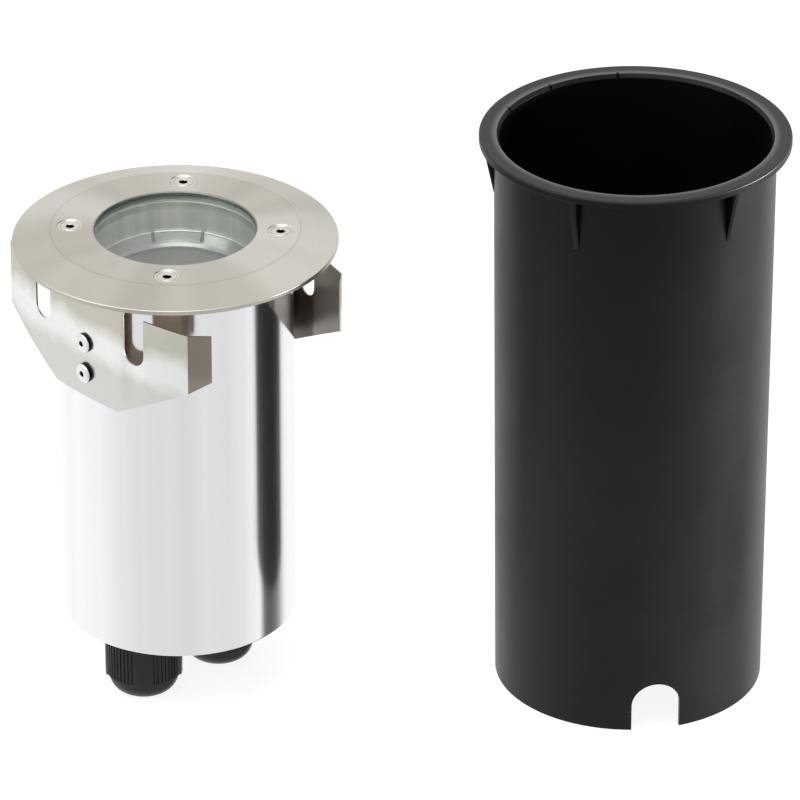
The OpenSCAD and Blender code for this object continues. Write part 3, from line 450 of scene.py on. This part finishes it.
def softened(corners, steps=5):
    """The outline through corners (r, z, radius), each turned into an arc, with a guard point
    on either side so that the flat faces beside it stay flat in the light."""
    out = []
    for i, (x, y, radius) in enumerate(corners):
        corner = Vector((x, y))
        back = Vector(corners[i - 1][:2]) - corner
        ahead = Vector(corners[(i + 1) % len(corners)][:2]) - corner
        if radius <= 0:
            out.append(corner)
            continue
        a, b = back.normalized(), ahead.normalized()
        half = math.acos(max(-1.0, min(1.0, a.dot(b)))) / 2
        cut = min(radius / math.tan(half), 0.45 * back.length, 0.45 * ahead.length)
        used = cut * math.tan(half)
        centre = corner + (a + b).normalized() * (used / math.sin(half))
        start, end = corner + a * cut - centre, corner + b * cut - centre
        sweep = math.atan2(start.x * end.y - start.y * end.x, start.dot(end))
        out.append(corner + a * cut * 1.2)
        for k in range(steps + 1):
            c, s = math.cos(sweep * k / steps), math.sin(sweep * k / steps)
            out.append(centre + Vector((start.x * c - start.y * s, start.x * s + start.y * c)))
        out.append(corner + b * cut * 1.2)
    return out


def on_circle(r, angle):
    """The point at an angle, in radians, on a circle about the origin."""
    return r * math.cos(angle), r * math.sin(angle)


def turned(outline, sides=192):
    """A closed body turned about Z from an outline of (r, z) points."""
    bm = bmesh.new()
    rings = []
    for r, z in outline:
        if r < 1e-6:
            rings.append([bm.verts.new((0, 0, z))])
        else:
            points = [on_circle(r, 2 * math.pi * k / sides) for k in range(sides)]
            rings.append([bm.verts.new((x, y, z)) for x, y in points])
    for i, ring in enumerate(rings):
        other = rings[(i + 1) % len(rings)]
        if len(ring) == 1 and len(other) == 1:
            continue
        for k in range(sides):
            face = [ring[k % len(ring)], ring[(k + 1) % len(ring)],
                    other[(k + 1) % len(other)], other[k % len(other)]]
            bm.faces.new(list(dict.fromkeys(face)))
    bmesh.ops.recalc_face_normals(bm, faces=bm.faces)
    return bm


def prism(points, low, high):
    """An upright body over a flat outline of (x, y) points."""
    bm = bmesh.new()
    bottom = [bm.verts.new((x, y, low)) for x, y in points]
    top = [bm.verts.new((x, y, high)) for x, y in points]
    bm.faces.new(bottom)
    bm.faces.new(top)
    for i in range(len(points)):
        j = (i + 1) % len(points)
        bm.faces.new([bottom[i], bottom[j], top[j], top[i]])
    bmesh.ops.recalc_face_normals(bm, faces=bm.faces)
    return bm


def placed(bm, *moves):
    """The body after the moves, the last one first."""
    for move in reversed(moves):
        bm.transform(move)
    return bm


def joined(*bodies):
    """Several bodies in one mesh."""
    out = bmesh.new()
    for bm in bodies:
        mesh = bpy.data.meshes.new("part")
        bm.to_mesh(mesh)
        bm.free()
        out.from_mesh(mesh)
        bpy.data.meshes.remove(mesh)
    return out


def scratch_object(bm, name):
    mesh = bpy.data.meshes.new(name)
    bm.to_mesh(mesh)
    bm.free()
    made = bpy.data.objects.new(name, mesh)
    scene.collection.objects.link(made)
    return made


def mesh_of(made):
    """The object's mesh with its modifiers applied, as a bmesh. The object goes."""
    bpy.context.view_layer.update()
    mesh = bpy.data.meshes.new_from_object(made.evaluated_get(bpy.context.evaluated_depsgraph_get()))
    bm = bmesh.new()
    bm.from_mesh(mesh)
    bpy.data.meshes.remove(mesh)
    old = made.data
    bpy.data.objects.remove(made)
    bpy.data.meshes.remove(old)
    return bm


def cut_by(bm, cutters):
    """The body with every cutter taken out of it."""
    body = scratch_object(bm, "body")
    tools = [scratch_object(cutter, "cutter") for cutter in cutters]
    for tool in tools:
        cut = body.modifiers.new("cut", "BOOLEAN")
        cut.operation = "DIFFERENCE"
        cut.solver = "EXACT"
        cut.object = tool
    out = mesh_of(body)
    for tool in tools:
        old = tool.data
        bpy.data.objects.remove(tool)
        bpy.data.meshes.remove(old)
    return out


def soft_edges(bm, width, angle=50, segments=2):
    """Rounds every edge that is sharper than the angle."""
    edges = [e for e in bm.edges if len(e.link_faces) == 2 and e.calc_face_angle() > math.radians(angle)]
    bmesh.ops.bevel(
        bm, geom=edges, offset=width, segments=segments, profile=0.5, affect="EDGES", clamp_overlap=True)
    return bm


def piece(bm, name, material, body, replaced, place, sharp=40):
    """The finished piece: in its place, in metres, riding on its body."""
    bm.transform(place)
    bmesh.ops.remove_doubles(bm, verts=bm.verts, dist=1e-8)
    mesh = bpy.data.meshes.new(name)
    bm.to_mesh(mesh)
    bm.free()
    mesh.materials.clear()
    mesh.materials.append(material)
    mesh.polygons.foreach_set("material_index", [0] * len(mesh.polygons))
    mesh.polygons.foreach_set("use_smooth", [True] * len(mesh.polygons))
    mesh.set_sharp_from_angle(angle=math.radians(sharp))
    made = bpy.data.objects.new(name, mesh)
    scene.collection.objects.link(made)
    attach(made, body)
    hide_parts(*replaced)


# Geometry nodes: copies of one item about Z, in groups that are turned or raised on

def make_repeat_tree():
    """The node tree, and the identifiers of its inputs by their names."""
    tree = bpy.data.node_groups.new("copies about the axis", "GeometryNodeTree")
    face = tree.interface
    ids = {"Item": face.new_socket("Item", in_out="INPUT", socket_type="NodeSocketGeometry").identifier}
    ids["Finish"] = face.new_socket("Finish", in_out="INPUT", socket_type="NodeSocketMaterial").identifier
    for label in ("Count", "Groups"):
        socket = face.new_socket(label, in_out="INPUT", socket_type="NodeSocketInt")
        socket.default_value = 1
        ids[label] = socket.identifier
    for label in ("Step Angle", "Group Angle", "Group Rise", "First Angle", "Distance", "Height"):
        ids[label] = face.new_socket(label, in_out="INPUT", socket_type="NodeSocketFloat").identifier
    face.new_socket("Copies", in_out="OUTPUT", socket_type="NodeSocketGeometry")
    t = Tree(tree)
    given, out = tree.nodes.new("NodeGroupInput").outputs, tree.nodes.new("NodeGroupOutput").inputs
    index = t.node("GeometryNodeInputIndex").outputs[0]
    place = t.math("MODULO", index, given["Count"])
    group = t.math("FLOOR", t.math("DIVIDE", index, given["Count"]))
    steps = t.math("ADD", t.math("MULTIPLY", place, given["Step Angle"]),
                   t.math("MULTIPLY", group, given["Group Angle"]))
    angle = t.math("RADIANS", t.math("ADD", given["First Angle"], steps))
    spot = t.node("ShaderNodeCombineXYZ", {
        0: t.math("MULTIPLY", given["Distance"], t.math("COSINE", angle)),
        1: t.math("MULTIPLY", given["Distance"], t.math("SINE", angle)),
        2: t.math("ADD", given["Height"], t.math("MULTIPLY", group, given["Group Rise"]))})
    points = t.node("GeometryNodePoints", {
        "Count": t.math("MULTIPLY", given["Count"], given["Groups"]), "Position": spot.outputs[0]})
    way = t.node("ShaderNodeCombineXYZ", {2: angle})
    copies = t.node("GeometryNodeInstanceOnPoints", {
        "Points": points.outputs[0], "Instance": given["Item"], "Rotation": way.outputs[0]})
    real = t.node("GeometryNodeRealizeInstances", {0: copies.outputs[0]})
    finish = t.node("GeometryNodeSetMaterial", {
        "Geometry": real.outputs[0], "Material": given["Finish"]})
    t.feed(out[0], finish.outputs[0])
    return tree, ids


REPEAT_TREE, REPEAT_IDS = make_repeat_tree()


def copies(item, finish, **sizes):
    """The item's copies as one bmesh, made by the tree above."""
    made = scratch_object(item, "item")
    made.data.materials.append(finish)
    repeat = made.modifiers.new("copies", "NODES")
    repeat.node_group = REPEAT_TREE
    for label, value in {"Finish": finish, **sizes}.items():
        repeat[REPEAT_IDS[label.replace("_", " ")]] = value
    return mesh_of(made)


# Ground sleeve

FLANGE_Z, SLEEVE_H = 229.6, 232.5
FOOT_BORE_R, FOOT_R, NECK_R, FLANGE_R = 50.2, 52.2, 54.0, 59.75
MOUTH_R, MOUTH_BORE_R, MOUTH_DROP = 53.1, 52.0, 1.7
NOTCH_R, NOTCH_T, NOTCH_TURNS = 53.7, 1.1, (96, 127, 155)
ARCH_TURN, ARCH_R, ARCH_RISE = 10.6, 9.5, 10.5
WEB_COUNT, WEB_STEP, WEB_TURN = 6, 65.0, 7
WEB_R, WEB_ROOT_R, WEB_TOP_Z, WEB_H, WEB_T = 58.7, 52.9, 231.05, 22, 2.2


def sleeve_shell():
    outline = softened([
        (FOOT_BORE_R, 0, 0.4), (FOOT_R, 0, 0.4), (NECK_R, FLANGE_Z, 0.5), (FLANGE_R, FLANGE_Z, 0.35),
        (FLANGE_R, SLEEVE_H, 0.7), (MOUTH_R, SLEEVE_H, 0.9), (MOUTH_BORE_R, SLEEVE_H - MOUTH_DROP, 0.5)])
    arch = [(x, ARCH_RISE + y) for x, y in (on_circle(ARCH_R, math.pi * k / 32) for k in range(33))]
    arch += [(-ARCH_R, -3), (ARCH_R, -3)]
    cutter = placed(prism(arch, 0, 70), turn(ARCH_TURN), turn(90, "X"))
    half = NOTCH_T / 2
    notch = [(0, -half), (NOTCH_R, -half), (NOTCH_R, half), (0, half)]
    notches = [placed(prism(notch, SLEEVE_H - MOUTH_DROP, SLEEVE_H + 2), turn(a)) for a in NOTCH_TURNS]
    return cut_by(turned(outline, 256), [cutter, *notches])


def sleeve_webs():
    foot_z = FLANGE_Z - WEB_H
    outline = [
        (WEB_ROOT_R, WEB_TOP_Z), (WEB_R, WEB_TOP_Z), (WEB_R, FLANGE_Z), (NECK_R, foot_z),
        (WEB_ROOT_R, foot_z)]
    web = soft_edges(placed(prism(outline, -WEB_T / 2, WEB_T / 2), turn(90, "X")), 0.3)
    first = WEB_TURN - 90 - (WEB_COUNT - 1) / 2 * WEB_STEP
    return copies(web, SLEEVE_PLASTIC, Count=WEB_COUNT, Step_Angle=WEB_STEP, First_Angle=first)


for name, made in (("sleeve_shell", sleeve_shell()), ("sleeve_webs", sleeve_webs())):
    piece(made, name, SLEEVE_PLASTIC, "sleeve", ["ground_sleeve"], TO_METRES)


# Housing tube, with the tapped holes for the cover screws

INNER_R, BASE_SEAT_R, BASE_SEAT_H = 42.2, 43.2, 5
RIM_BORE_R, GLASS_SEAT_R = 31.7, 34.5
SCREW_COUNT, SCREW_CIRCLE_R = 4, 40.4
TAPPED_R, TAPPED_DEPTH = 2.45, 10.7


def screw_cutters(outline, sides):
    """The turned outline at each of the cover screws' places."""
    return [placed(turned(outline, sides), turn(360 / SCREW_COUNT * i), shift(SCREW_CIRCLE_R))
            for i in range(SCREW_COUNT)]


def housing():
    pocket_z = TOP_Z - POCKET
    base_seat_z = TUBE_Z + BASE_SEAT_H
    outline = softened([
        (BASE_SEAT_R, TUBE_Z, 0.2), (TUBE_R, TUBE_Z, 0.7), (TUBE_R, TOP_Z, 0.25),
        (GLASS_SEAT_R, TOP_Z, 0.2), (GLASS_SEAT_R, pocket_z, 0.15), (RIM_BORE_R, pocket_z, 0.25),
        (RIM_BORE_R, CARRIER_TOP_Z, 0.3), (INNER_R, CARRIER_TOP_Z, 0.3), (INNER_R, base_seat_z, 0.1),
        (BASE_SEAT_R, base_seat_z, 0.1)], 4)
    low, high = TOP_Z - TAPPED_DEPTH, TOP_Z + 1.05
    hole = [(0, low), (TAPPED_R, low), (TAPPED_R, TOP_Z - 0.5), (4.0, high), (0, high)]
    return cut_by(turned(outline, 256), screw_cutters(hole, 48))


piece(housing(), "housing_shell", HOUSING_ALUMINIUM, "light", ["housing_tube"],
      AT_LIGHT)


# Cover ring with countersunk holes, and its screws

COVER_R, BEVEL_R, COVER_BORE_R = 62.5, 47.85, 30.9
COVER_TOP_Z = TOP_Z + COVER_T
HEAD_R, HEAD_DEPTH, HEAD_SINK, SCREW_TURN = 4.9, 3.6, 0.3, 8
SHANK_R, THREAD_DEPTH, THREAD_PITCH, THREAD_LOW, THREAD_HIGH = 2.4, 0.35, 0.8, -15, -3.4
SOCKET_ACROSS, SOCKET_DEPTH = 3.0, 2.2


def cover():
    edge_z, glass_z = TOP_Z + COVER_EDGE_T, TOP_Z + GLASS_TOP
    outline = softened([
        (COVER_BORE_R, glass_z, 0.1), (COVER_BORE_R, COVER_TOP_Z, 0.45), (BEVEL_R, COVER_TOP_Z, 0.5),
        (COVER_R, edge_z, 0.45), (COVER_R, TOP_Z, 0.2), (GLASS_SEAT_R, TOP_Z, 0.15),
        (GLASS_SEAT_R, glass_z, 0.1)], 5)
    low, high = TOP_Z - 1, COVER_TOP_Z + 1
    hole = [(0, low), (2.7, low), (2.7, COVER_TOP_Z - 2.6), (6.3, high), (0, high)]
    return cut_by(turned(outline, 288), screw_cutters(hole, 64))


def threaded(radius, depth, pitch, low, high, sides=24):
    """A shank with a helical thread between two heights."""
    bm = bmesh.new()
    steps = int((high - low) / pitch * 6)
    rings = []
    for i in range(steps + 1):
        z = low + (high - low) * i / steps
        fade = min(1.0, 2.0 * min(i, steps - i) / 6)
        ring = []
        for k in range(sides):
            phase = (z / pitch - k / sides) % 1.0
            r = radius - depth * (1 - fade + fade * abs(2 * phase - 1))
            ring.append(bm.verts.new((*on_circle(r, 2 * math.pi * k / sides), z)))
        rings.append(ring)
    for a, b in zip(rings, rings[1:]):
        for k in range(sides):
            j = (k + 1) % sides
            bm.faces.new([a[k], a[j], b[j], b[k]])
    bm.faces.new(rings[0])
    bm.faces.new(rings[-1])
    bmesh.ops.recalc_face_normals(bm, faces=bm.faces)
    return bm


def hexagon(across):
    return [on_circle(across / 2 / math.cos(math.pi / 6), math.radians(60 * k)) for k in range(6)]


def cover_screw():
    """A socket screw whose top lies at zero, marked for painted shade in its socket, under its edge and
    in the fine dip about the socket."""
    head = turned(softened([
        (0, 0, 0), (3.6, 0, 0.08), (3.75, -0.12, 0.06), (3.95, -0.12, 0.06), (4.1, 0, 0.08),
        (HEAD_R, 0, 0.22), (HEAD_R, -0.25, 0.1), (SHANK_R, -2.75, 0.3), (SHANK_R, -HEAD_DEPTH, 0.1),
        (0, -HEAD_DEPTH, 0)], 3), 72)
    socket = prism(hexagon(SOCKET_ACROSS), -SOCKET_DEPTH, 1)
    mouth = turned([(0, -0.3), (SOCKET_ACROSS / 2, -0.3), (2.1, 0.3), (0, 0.3)], 48)
    shank = threaded(SHANK_R, THREAD_DEPTH, THREAD_PITCH, THREAD_LOW, THREAD_HIGH)
    screw = joined(cut_by(head, [socket, mouth]), shank)
    # Marks for painted shade: the socket and under the head's edge, and fainter in the dip about the
    # socket.
    mark = screw.verts.layers.float.new("dark")
    for v in screw.verts:
        r = math.hypot(v.co.x, v.co.y)
        hollow_shade = -3 < v.co.z < -0.13 and (r < 1.9 or r > 4.5)
        groove_shade = 3.7 < r < 4.0
        v[mark] = 1.0 if hollow_shade else 0.35 if groove_shade else 0.0
    return placed(screw, turn(SCREW_TURN))


def cover_screw_set():
    return copies(cover_screw(), SCREW_STEEL, Count=SCREW_COUNT, Step_Angle=360 / SCREW_COUNT,
                  Distance=SCREW_CIRCLE_R, Height=COVER_TOP_Z - HEAD_SINK)


piece(cover(), "cover_plate", COVER_STEEL, "cover", ["cover_ring"], AT_LIGHT)
piece(cover_screw_set(), "cover_screw_set", SCREW_STEEL, "cover", ["cover_screws"],
      AT_LIGHT)


# Glass

GLASS_R = 34.2


def glass():
    high = TOP_Z + GLASS_TOP
    low = high - GLASS_T
    outline = softened([(0, low, 0), (GLASS_R, low, 0.5), (GLASS_R, high, 0.5), (0, high, 0)], 3)
    return turned(outline, 256)


piece(glass(), "glass_disc", LENS_GLASS, "glass", ["glass_lens"], AT_LIGHT)


# Spring clips: one bent sheet with two slots and folded ends

CLIP_R, CLIP_T, CLIP_HALF_W, CLIP_FOLD, CLIP_TIP = 197.8, 0.8, 52.2, 31.0, 9.1
BEND_R, BEND_STEPS = 1.6, 6
BEND_CUT = BEND_R * math.tan(math.radians(CLIP_FOLD) / 2)
ARC_RUN = CLIP_R * math.asin(CLIP_HALF_W / CLIP_R) - BEND_CUT
BEND_RUN = BEND_R * math.radians(CLIP_FOLD)
FOLD_RUN = ARC_RUN + BEND_RUN / 2
END_RUN = ARC_RUN + BEND_RUN + CLIP_TIP - BEND_CUT
CLIP_HEAD, CLIP_FOOT, CLIP_FOOT_RUN, CLIP_LIGHTER_SHADE_RUN = -1.3, -50.8, 18.2, 30
SLOT_RUN, SLOT_HALF_W, SLOT_TOP, SLOT_FOOT, SLOT_FOOT_H = 26.75, 5.05, -7.6, -22.8, 5.0


def sheet_point(run):
    """The outer face's place and heading after a run along the sheet from its middle."""
    side, run = math.copysign(1, run), abs(run)
    centre_x = TUBE_R + 0.05 - (CLIP_R - CLIP_T)
    a = min(run, ARC_RUN) / CLIP_R
    x, y = centre_x + CLIP_R * math.cos(a), CLIP_R * math.sin(a)
    if run > ARC_RUN:
        bend = min(run - ARC_RUN, BEND_RUN) / BEND_R
        x += BEND_R * (math.cos(a + bend) - math.cos(a))
        y += BEND_R * (math.sin(a + bend) - math.sin(a))
        a += bend
        rest = max(0.0, run - ARC_RUN - BEND_RUN)
        x -= rest * math.sin(a)
        y += rest * math.cos(a)
    return x, side * y, side * a


def spring_clip():
    """The sheet is cut out flat, with its runs along X, then bent. Its marks say where painted shade
    goes, on the back and on the fold, and the painted shade on the back is lighter behind one arm."""
    half = [(0, CLIP_FOOT), (CLIP_FOOT_RUN, CLIP_FOOT), (FOLD_RUN, -32.2), (END_RUN, -27.1),
            (END_RUN, SLOT_TOP), (SLOT_RUN + SLOT_HALF_W, SLOT_TOP)]
    for k in range(17):
        a = math.pi * k / 16
        half.append((SLOT_RUN + SLOT_HALF_W * math.cos(a), SLOT_FOOT - SLOT_FOOT_H * math.sin(a)))
    half += [(SLOT_RUN - SLOT_HALF_W, CLIP_HEAD), (0, CLIP_HEAD)]
    loop = half + [(-s, z) for s, z in reversed(half[1:-1])]
    bm = bmesh.new()
    back_shade_mark, fold_shade_mark = bm.verts.layers.float.new("back"), bm.verts.layers.float.new("fold")
    bm.faces.new([bm.verts.new((s, 0, z)) for s, z in loop])
    cuts = [ARC_RUN + BEND_RUN * k / BEND_STEPS for k in range(BEND_STEPS + 1)]
    cuts += [ARC_RUN - 0.4, ARC_RUN + BEND_RUN + 0.4]
    cuts += [2.0 * k for k in range(1, int(ARC_RUN / 2.0))]
    for s in [0.0] + cuts + [-c for c in cuts]:
        everything = bm.verts[:] + bm.edges[:] + bm.faces[:]
        bmesh.ops.bisect_plane(bm, geom=everything, dist=1e-5, plane_co=(s, 0, 0), plane_no=(1, 0, 0))
    outer = bm.faces[:]
    made = bmesh.ops.extrude_face_region(bm, geom=outer)
    inner = {v for v in made["geom"] if isinstance(v, bmesh.types.BMVert)}
    for v in bm.verts:
        # Marks for painted shade: the back, lighter behind one arm, and the fold at one end.
        less_shaded = -FOLD_RUN < v.co.x < -CLIP_LIGHTER_SHADE_RUN
        v[back_shade_mark] = (0.6 if less_shaded else 1.0) if v in inner else 0.0
        v[fold_shade_mark] = float(v.co.x > FOLD_RUN)
        x, y, heading = sheet_point(v.co.x)
        back = CLIP_T if v in inner else 0.0
        v.co = (x - back * math.cos(heading), y - back * math.sin(heading), TOP_Z + v.co.z)
    bmesh.ops.recalc_face_normals(bm, faces=bm.faces)
    return soft_edges(bm, 0.14, 60)


for name, way in (("front", 225), ("rear", 45)):
    piece(spring_clip(), "clip_sheet_" + name, CLIP_STEEL, "light", ["spring_clip_" + name],
          AT_LIGHT @ turn(way), 30)


# Blind rivets

RIVET_R, RIVET_STEM_R, RIVET_SEAT, RIVET_H = 3.9, 2.0, 0.9, 1.15
RIVET_DROP, RIVET_PITCH = 27.8, 12.9


def rivet():
    """A domed head with the hole that the mandrel leaves, and its stem. Z points outwards."""
    seat = RIVET_SEAT
    dome = [(RIVET_R * math.sin(a), seat + RIVET_H + 0.8 * math.cos(a))
            for a in (math.radians(degrees) for degrees in range(90, 20, -10))]
    outline = [
        (1.0, seat - 3.6), (RIVET_STEM_R, seat - 3.6), (RIVET_STEM_R, seat), (RIVET_R - 0.1, seat),
        (RIVET_R, seat + 0.1), (RIVET_R, seat + 1.0), *dome, (1.35, seat + 1.9), (1.15, seat + 1.7),
        (1.1, seat + 0.5), (1.0, seat + 0.4)]
    head = turned([Vector(p) for p in outline], 48)
    pin = turned([(0, seat - 3.5), (1.05, seat - 3.5), (1.05, seat + 0.55), (0, seat + 0.75)], 24)
    body = joined(head, pin)
    # Marks for painted shade: round the head's side where it meets the clip, and down in the mandrel's
    # hole.
    mark = body.verts.layers.float.new("dark")
    for v in body.verts:
        r = math.hypot(v.co.x, v.co.y)
        v[mark] = float((r > 3 and v.co.z < seat + 1.05) or (r < 1.12 and v.co.z < seat + 1.0))
    return placed(body, turn(90, "Y"))


def rivet_set():
    return copies(rivet(), RIVET_ALUMINIUM, Count=2, Step_Angle=180.0, First_Angle=45.0, Groups=2,
                  Group_Rise=-RIVET_PITCH, Distance=TUBE_R, Height=TOP_Z - RIVET_DROP)


piece(rivet_set(), "rivet_set", RIVET_ALUMINIUM, "light", ["clip_rivets"], AT_LIGHT)


# Lamp cup: a spun ring with a rounded ledge and a slotted, flared rim

CUP_R, CUP_RIM_R, CUP_BORE_R = 29.8, 31.4, 27.3
CUP_SLOT_W, CUP_SLOT_Z, CUP_SLOT_ANGLE, CUP_TURN = 1.4, 3.55, 18.5, 3.0


def cup():
    base, slot_z = CARRIER_TOP_Z, CARRIER_TOP_Z + CUP_SLOT_Z
    outline = softened([
        (CUP_BORE_R, base, 0.1), (CUP_BORE_R, base + 1.0, 0.5), (28.4, base + 2.2, 0.5),
        (29.1, base + 3.2, 0.3), (30.6, base + 5.6, 0.3), (30.75, base + 6.3, 0.3),
        (CUP_RIM_R, base + 6.3, 0.3), (CUP_RIM_R, base + 5.6, 0.2), (CUP_R, base + 3.2, 0.3),
        (CUP_R, base, 0.1)], 4)
    half = CUP_SLOT_W / 2
    slit = [(CUP_BORE_R, -half), (36, -half), (36, half), (CUP_BORE_R, half)]
    drill = [(0, 26), (0.95, 26), (0.95, 36), (0, 36)]
    cutters = []
    for quarter in range(4):
        for side in (-1, 1):
            way = turn(90 * quarter + side * CUP_SLOT_ANGLE + CUP_TURN)
            cutters.append(placed(prism(slit, slot_z, base + 9), way))
            cutters.append(placed(turned(drill, 24), way, shift(z=slot_z), turn(90, "Y")))
    return cut_by(turned(outline, 256), cutters)


piece(cup(), "cup_ring", CUP_ALUMINIUM, "light", ["lamp_cup"], AT_LIGHT)


# Cap nuts of the cable glands: a smooth dome, and ribs in four groups with plain panels between

NUT_H, NUT_R, NUT_MOUTH_R, NUT_BORE_R, NUT_BORE_Z = 24.1, 14.55, 6.7, 11.27, 10.0
GRIP_TURN, GRIP_TOP = 3.3, NUT_H - 0.4
RIB_COUNT, RIB_STEP, RIB_R, RIB_ROOT_R, RIB_FOOT = 9, 6.6, 15.0, 13.9, 8.2
PANEL_R, PANEL_ROOT_R, PANEL_FOOT, PANEL_HALF_ANGLE = 15.1, 13.4, 7.2, 15


def nut_core():
    dome = [(NUT_MOUTH_R + 6.9 * math.sin(a), 7.0 * (1 - math.cos(a)))
            for a in (math.radians(degrees) for degrees in range(9, 91, 9))]
    outline = [
        (NUT_MOUTH_R, 4.5), (NUT_MOUTH_R, 0.3), *dome, (14.5, 7.6), (NUT_R, 8.4), (NUT_R, NUT_H - 0.6),
        (14.0, NUT_H), (NUT_BORE_R, NUT_H), (NUT_BORE_R, NUT_BORE_Z)]
    return turned([Vector(p) for p in outline], 192)


def nut_rib():
    half = [(RIB_ROOT_R, -0.52), (14.75, -0.47), (RIB_R, -0.3)]
    section = half + [(x, -y) for x, y in reversed(half)]
    return soft_edges(prism(section, RIB_FOOT, GRIP_TOP), 0.12, 60, 1)


def nut_panel():
    angles = [math.radians(a) for a in range(-PANEL_HALF_ANGLE, PANEL_HALF_ANGLE + 1, 3)]
    points = [on_circle(PANEL_R, a) for a in angles]
    points += [on_circle(PANEL_ROOT_R, a) for a in reversed(angles)]
    return soft_edges(prism(points, PANEL_FOOT, GRIP_TOP), 0.3, 50)


def cap_nut():
    first = GRIP_TURN - (RIB_COUNT - 1) / 2 * RIB_STEP
    ribs = copies(nut_rib(), GLAND_NYLON, Count=RIB_COUNT, Step_Angle=RIB_STEP, First_Angle=first,
                  Groups=4, Group_Angle=90.0)
    panels = copies(nut_panel(), GLAND_NYLON, Count=4, Step_Angle=90.0, First_Angle=GRIP_TURN + 45)
    return joined(nut_core(), ribs, panels)


for name, side in (("left", -1), ("right", 1)):
    piece(cap_nut(), "cap_nut_" + name, GLAND_NYLON, "nut_" + name, ["gland_nut_" + name],
          at_gland(side), 35)


# Finishes of the nodes that keep their own shape

for finish, names in (
        (BASE_ALUMINIUM, ["base_plate"]), (CARRIER_ALUMINIUM, ["carrier_plate"]),
        (SINK_ALUMINIUM, ["heat_sink"]), (SCREW_STEEL, ["base_screws"]),
        (ZINC_SCREW, ["carrier_screws", "holder_screws", "pan_screws"]), (ZINC_SHEET, ["driver_bracket"]),
        (DRIVER_WHITE, ["lamp_driver"]), (TERMINAL_CREAM, ["terminal_block"]),
        (BOARD_WHITE, ["lamp_board"]), (HOLDER_WHITE, ["board_holder"]),
        (EMITTER_YELLOW, ["lamp_emitter"]), (LEAD_BROWN, ["mains_leads"]),
        (LEAD_RED, ["lamp_leads"]), (LEAD_GREEN, ["earth_lead"]),
        (GLAND_NYLON, ["gland_body_left", "gland_body_right", "gland_locknuts"]),
        (SEAL_RUBBER, ["base_seal", "gland_seal_left", "gland_seal_right", "gland_washers"]),
        (SEAL_SILICONE, ["glass_gasket"])):
    for name in names:
        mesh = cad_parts[name].data
        for i in range(len(mesh.materials)):
            mesh.materials[i] = finish
        if not mesh.materials:
            mesh.materials.append(finish)


# Studio: a pale floor, white surroundings and soft lamps

def studio_floor():
    """White to the camera with the object's shadow on it, and clear to rays that metal and glass
    send on and to a camera below."""
    bm = bmesh.new()
    bmesh.ops.create_grid(bm, x_segments=1, y_segments=1, size=4.0)
    floor = scratch_object(bm, "floor")
    floor.location = (0, 0, -0.0002)
    material = bpy.data.materials.new("floor_white")
    material.use_nodes = True
    t = Tree(material.node_tree)
    material.node_tree.nodes.remove(material.node_tree.nodes["Principled BSDF"])
    path = t.node("ShaderNodeLightPath").outputs
    below = t.node("ShaderNodeNewGeometry").outputs["Backfacing"]
    white = t.node("ShaderNodeEmission", {"Color": (1, 1, 1, 1), "Strength": 0.88})
    matt = t.node("ShaderNodeBsdfDiffuse", {"Color": (0.22, 0.22, 0.22, 1)})
    seen = t.node("ShaderNodeAddShader", {0: white.outputs[0], 1: matt.outputs[0]})
    plain = t.node("ShaderNodeBsdfDiffuse", {"Color": (0.75, 0.75, 0.75, 1)})
    clear = t.node("ShaderNodeBsdfTransparent")
    shown = t.node("ShaderNodeMixShader", {
        0: path["Is Camera Ray"], 1: plain.outputs[0], 2: seen.outputs[0]})
    mirrored = t.math("MAXIMUM", path["Is Glossy Ray"], path["Is Transmission Ray"])
    passed = t.math("MAXIMUM", below, mirrored)
    last = t.node("ShaderNodeMixShader", {0: passed, 1: shown.outputs[0], 2: clear.outputs[0]})
    t.feed(material.node_tree.nodes["Material Output"].inputs["Surface"], last.outputs[0])
    floor.data.materials.append(material)


def studio_world():
    """White behind everything. Glossy surfaces see tones that follow the direction, with a dark
    flag at the right."""
    world = bpy.data.worlds.new("studio")
    scene.world = world
    world.use_nodes = True
    world.cycles.sampling_method = "NONE"
    t = Tree(world.node_tree)
    path = t.node("ShaderNodeLightPath").outputs
    way = t.node("ShaderNodeSeparateXYZ", {0: t.node("ShaderNodeTexCoord").outputs["Generated"]})
    heading = t.math("ARCTAN2", way.outputs[0], t.math("MULTIPLY", way.outputs[1], -1.0))
    ramp = t.node("ShaderNodeValToRGB", {0: t.spread(heading, -math.pi, math.pi)})
    tones = [
        (-84, 1.0), (-72, 0.9), (-62, 0.84), (-44, 0.79), (-15, 0.76), (15, 0.76), (43, 0.8), (60, 0.79),
        (72, 0.86), (84, 1.0), (89, 1.0), (93, 0.11), (104, 0.11), (112, 0.2), (118, 0.38), (124, 0.78),
        (130, 1.0)]
    stops = ramp.color_ramp.elements
    stops[0].position, stops[1].position = 0.0, 1.0
    for angle, tone in tones:
        stops.new((angle + 180) / 360).color = (tone, tone, tone, 1)
    stops[0].color = stops[-1].color = (1, 1, 1, 1)
    plain = t.blend(path["Is Glossy Ray"], (0.62, 0.62, 0.62, 1), ramp.outputs[0])
    direct = t.math("MAXIMUM", path["Is Camera Ray"], path["Is Transmission Ray"])
    t.feed(world.node_tree.nodes["Background"].inputs["Color"], t.blend(direct, plain, (1, 1, 1, 1)))


def lamp(name, place, target, size, power):
    data = bpy.data.lights.new(name, "AREA")
    data.shape = "RECTANGLE"
    data.size, data.size_y = size
    data.energy = power
    made = bpy.data.objects.new(name, data)
    scene.collection.objects.link(made)
    made.location = place
    made.rotation_euler = (Vector(target) - Vector(place)).to_track_quat("-Z", "Y").to_euler()


studio_floor()
studio_world()
lamp("softbox_top", (-0.3, -0.5, 1.6), (-0.09, 0, 0.1), (1.4, 1.4), 14)
lamp("softbox_left", (-1.4, -0.6, 0.8), (-0.1, 0, 0.1), (0.9, 0.9), 6)
lamp("softbox_right", (1.2, 0.05, 0.16), (0, 0, 0.12), (0.5, 0.28), 40)
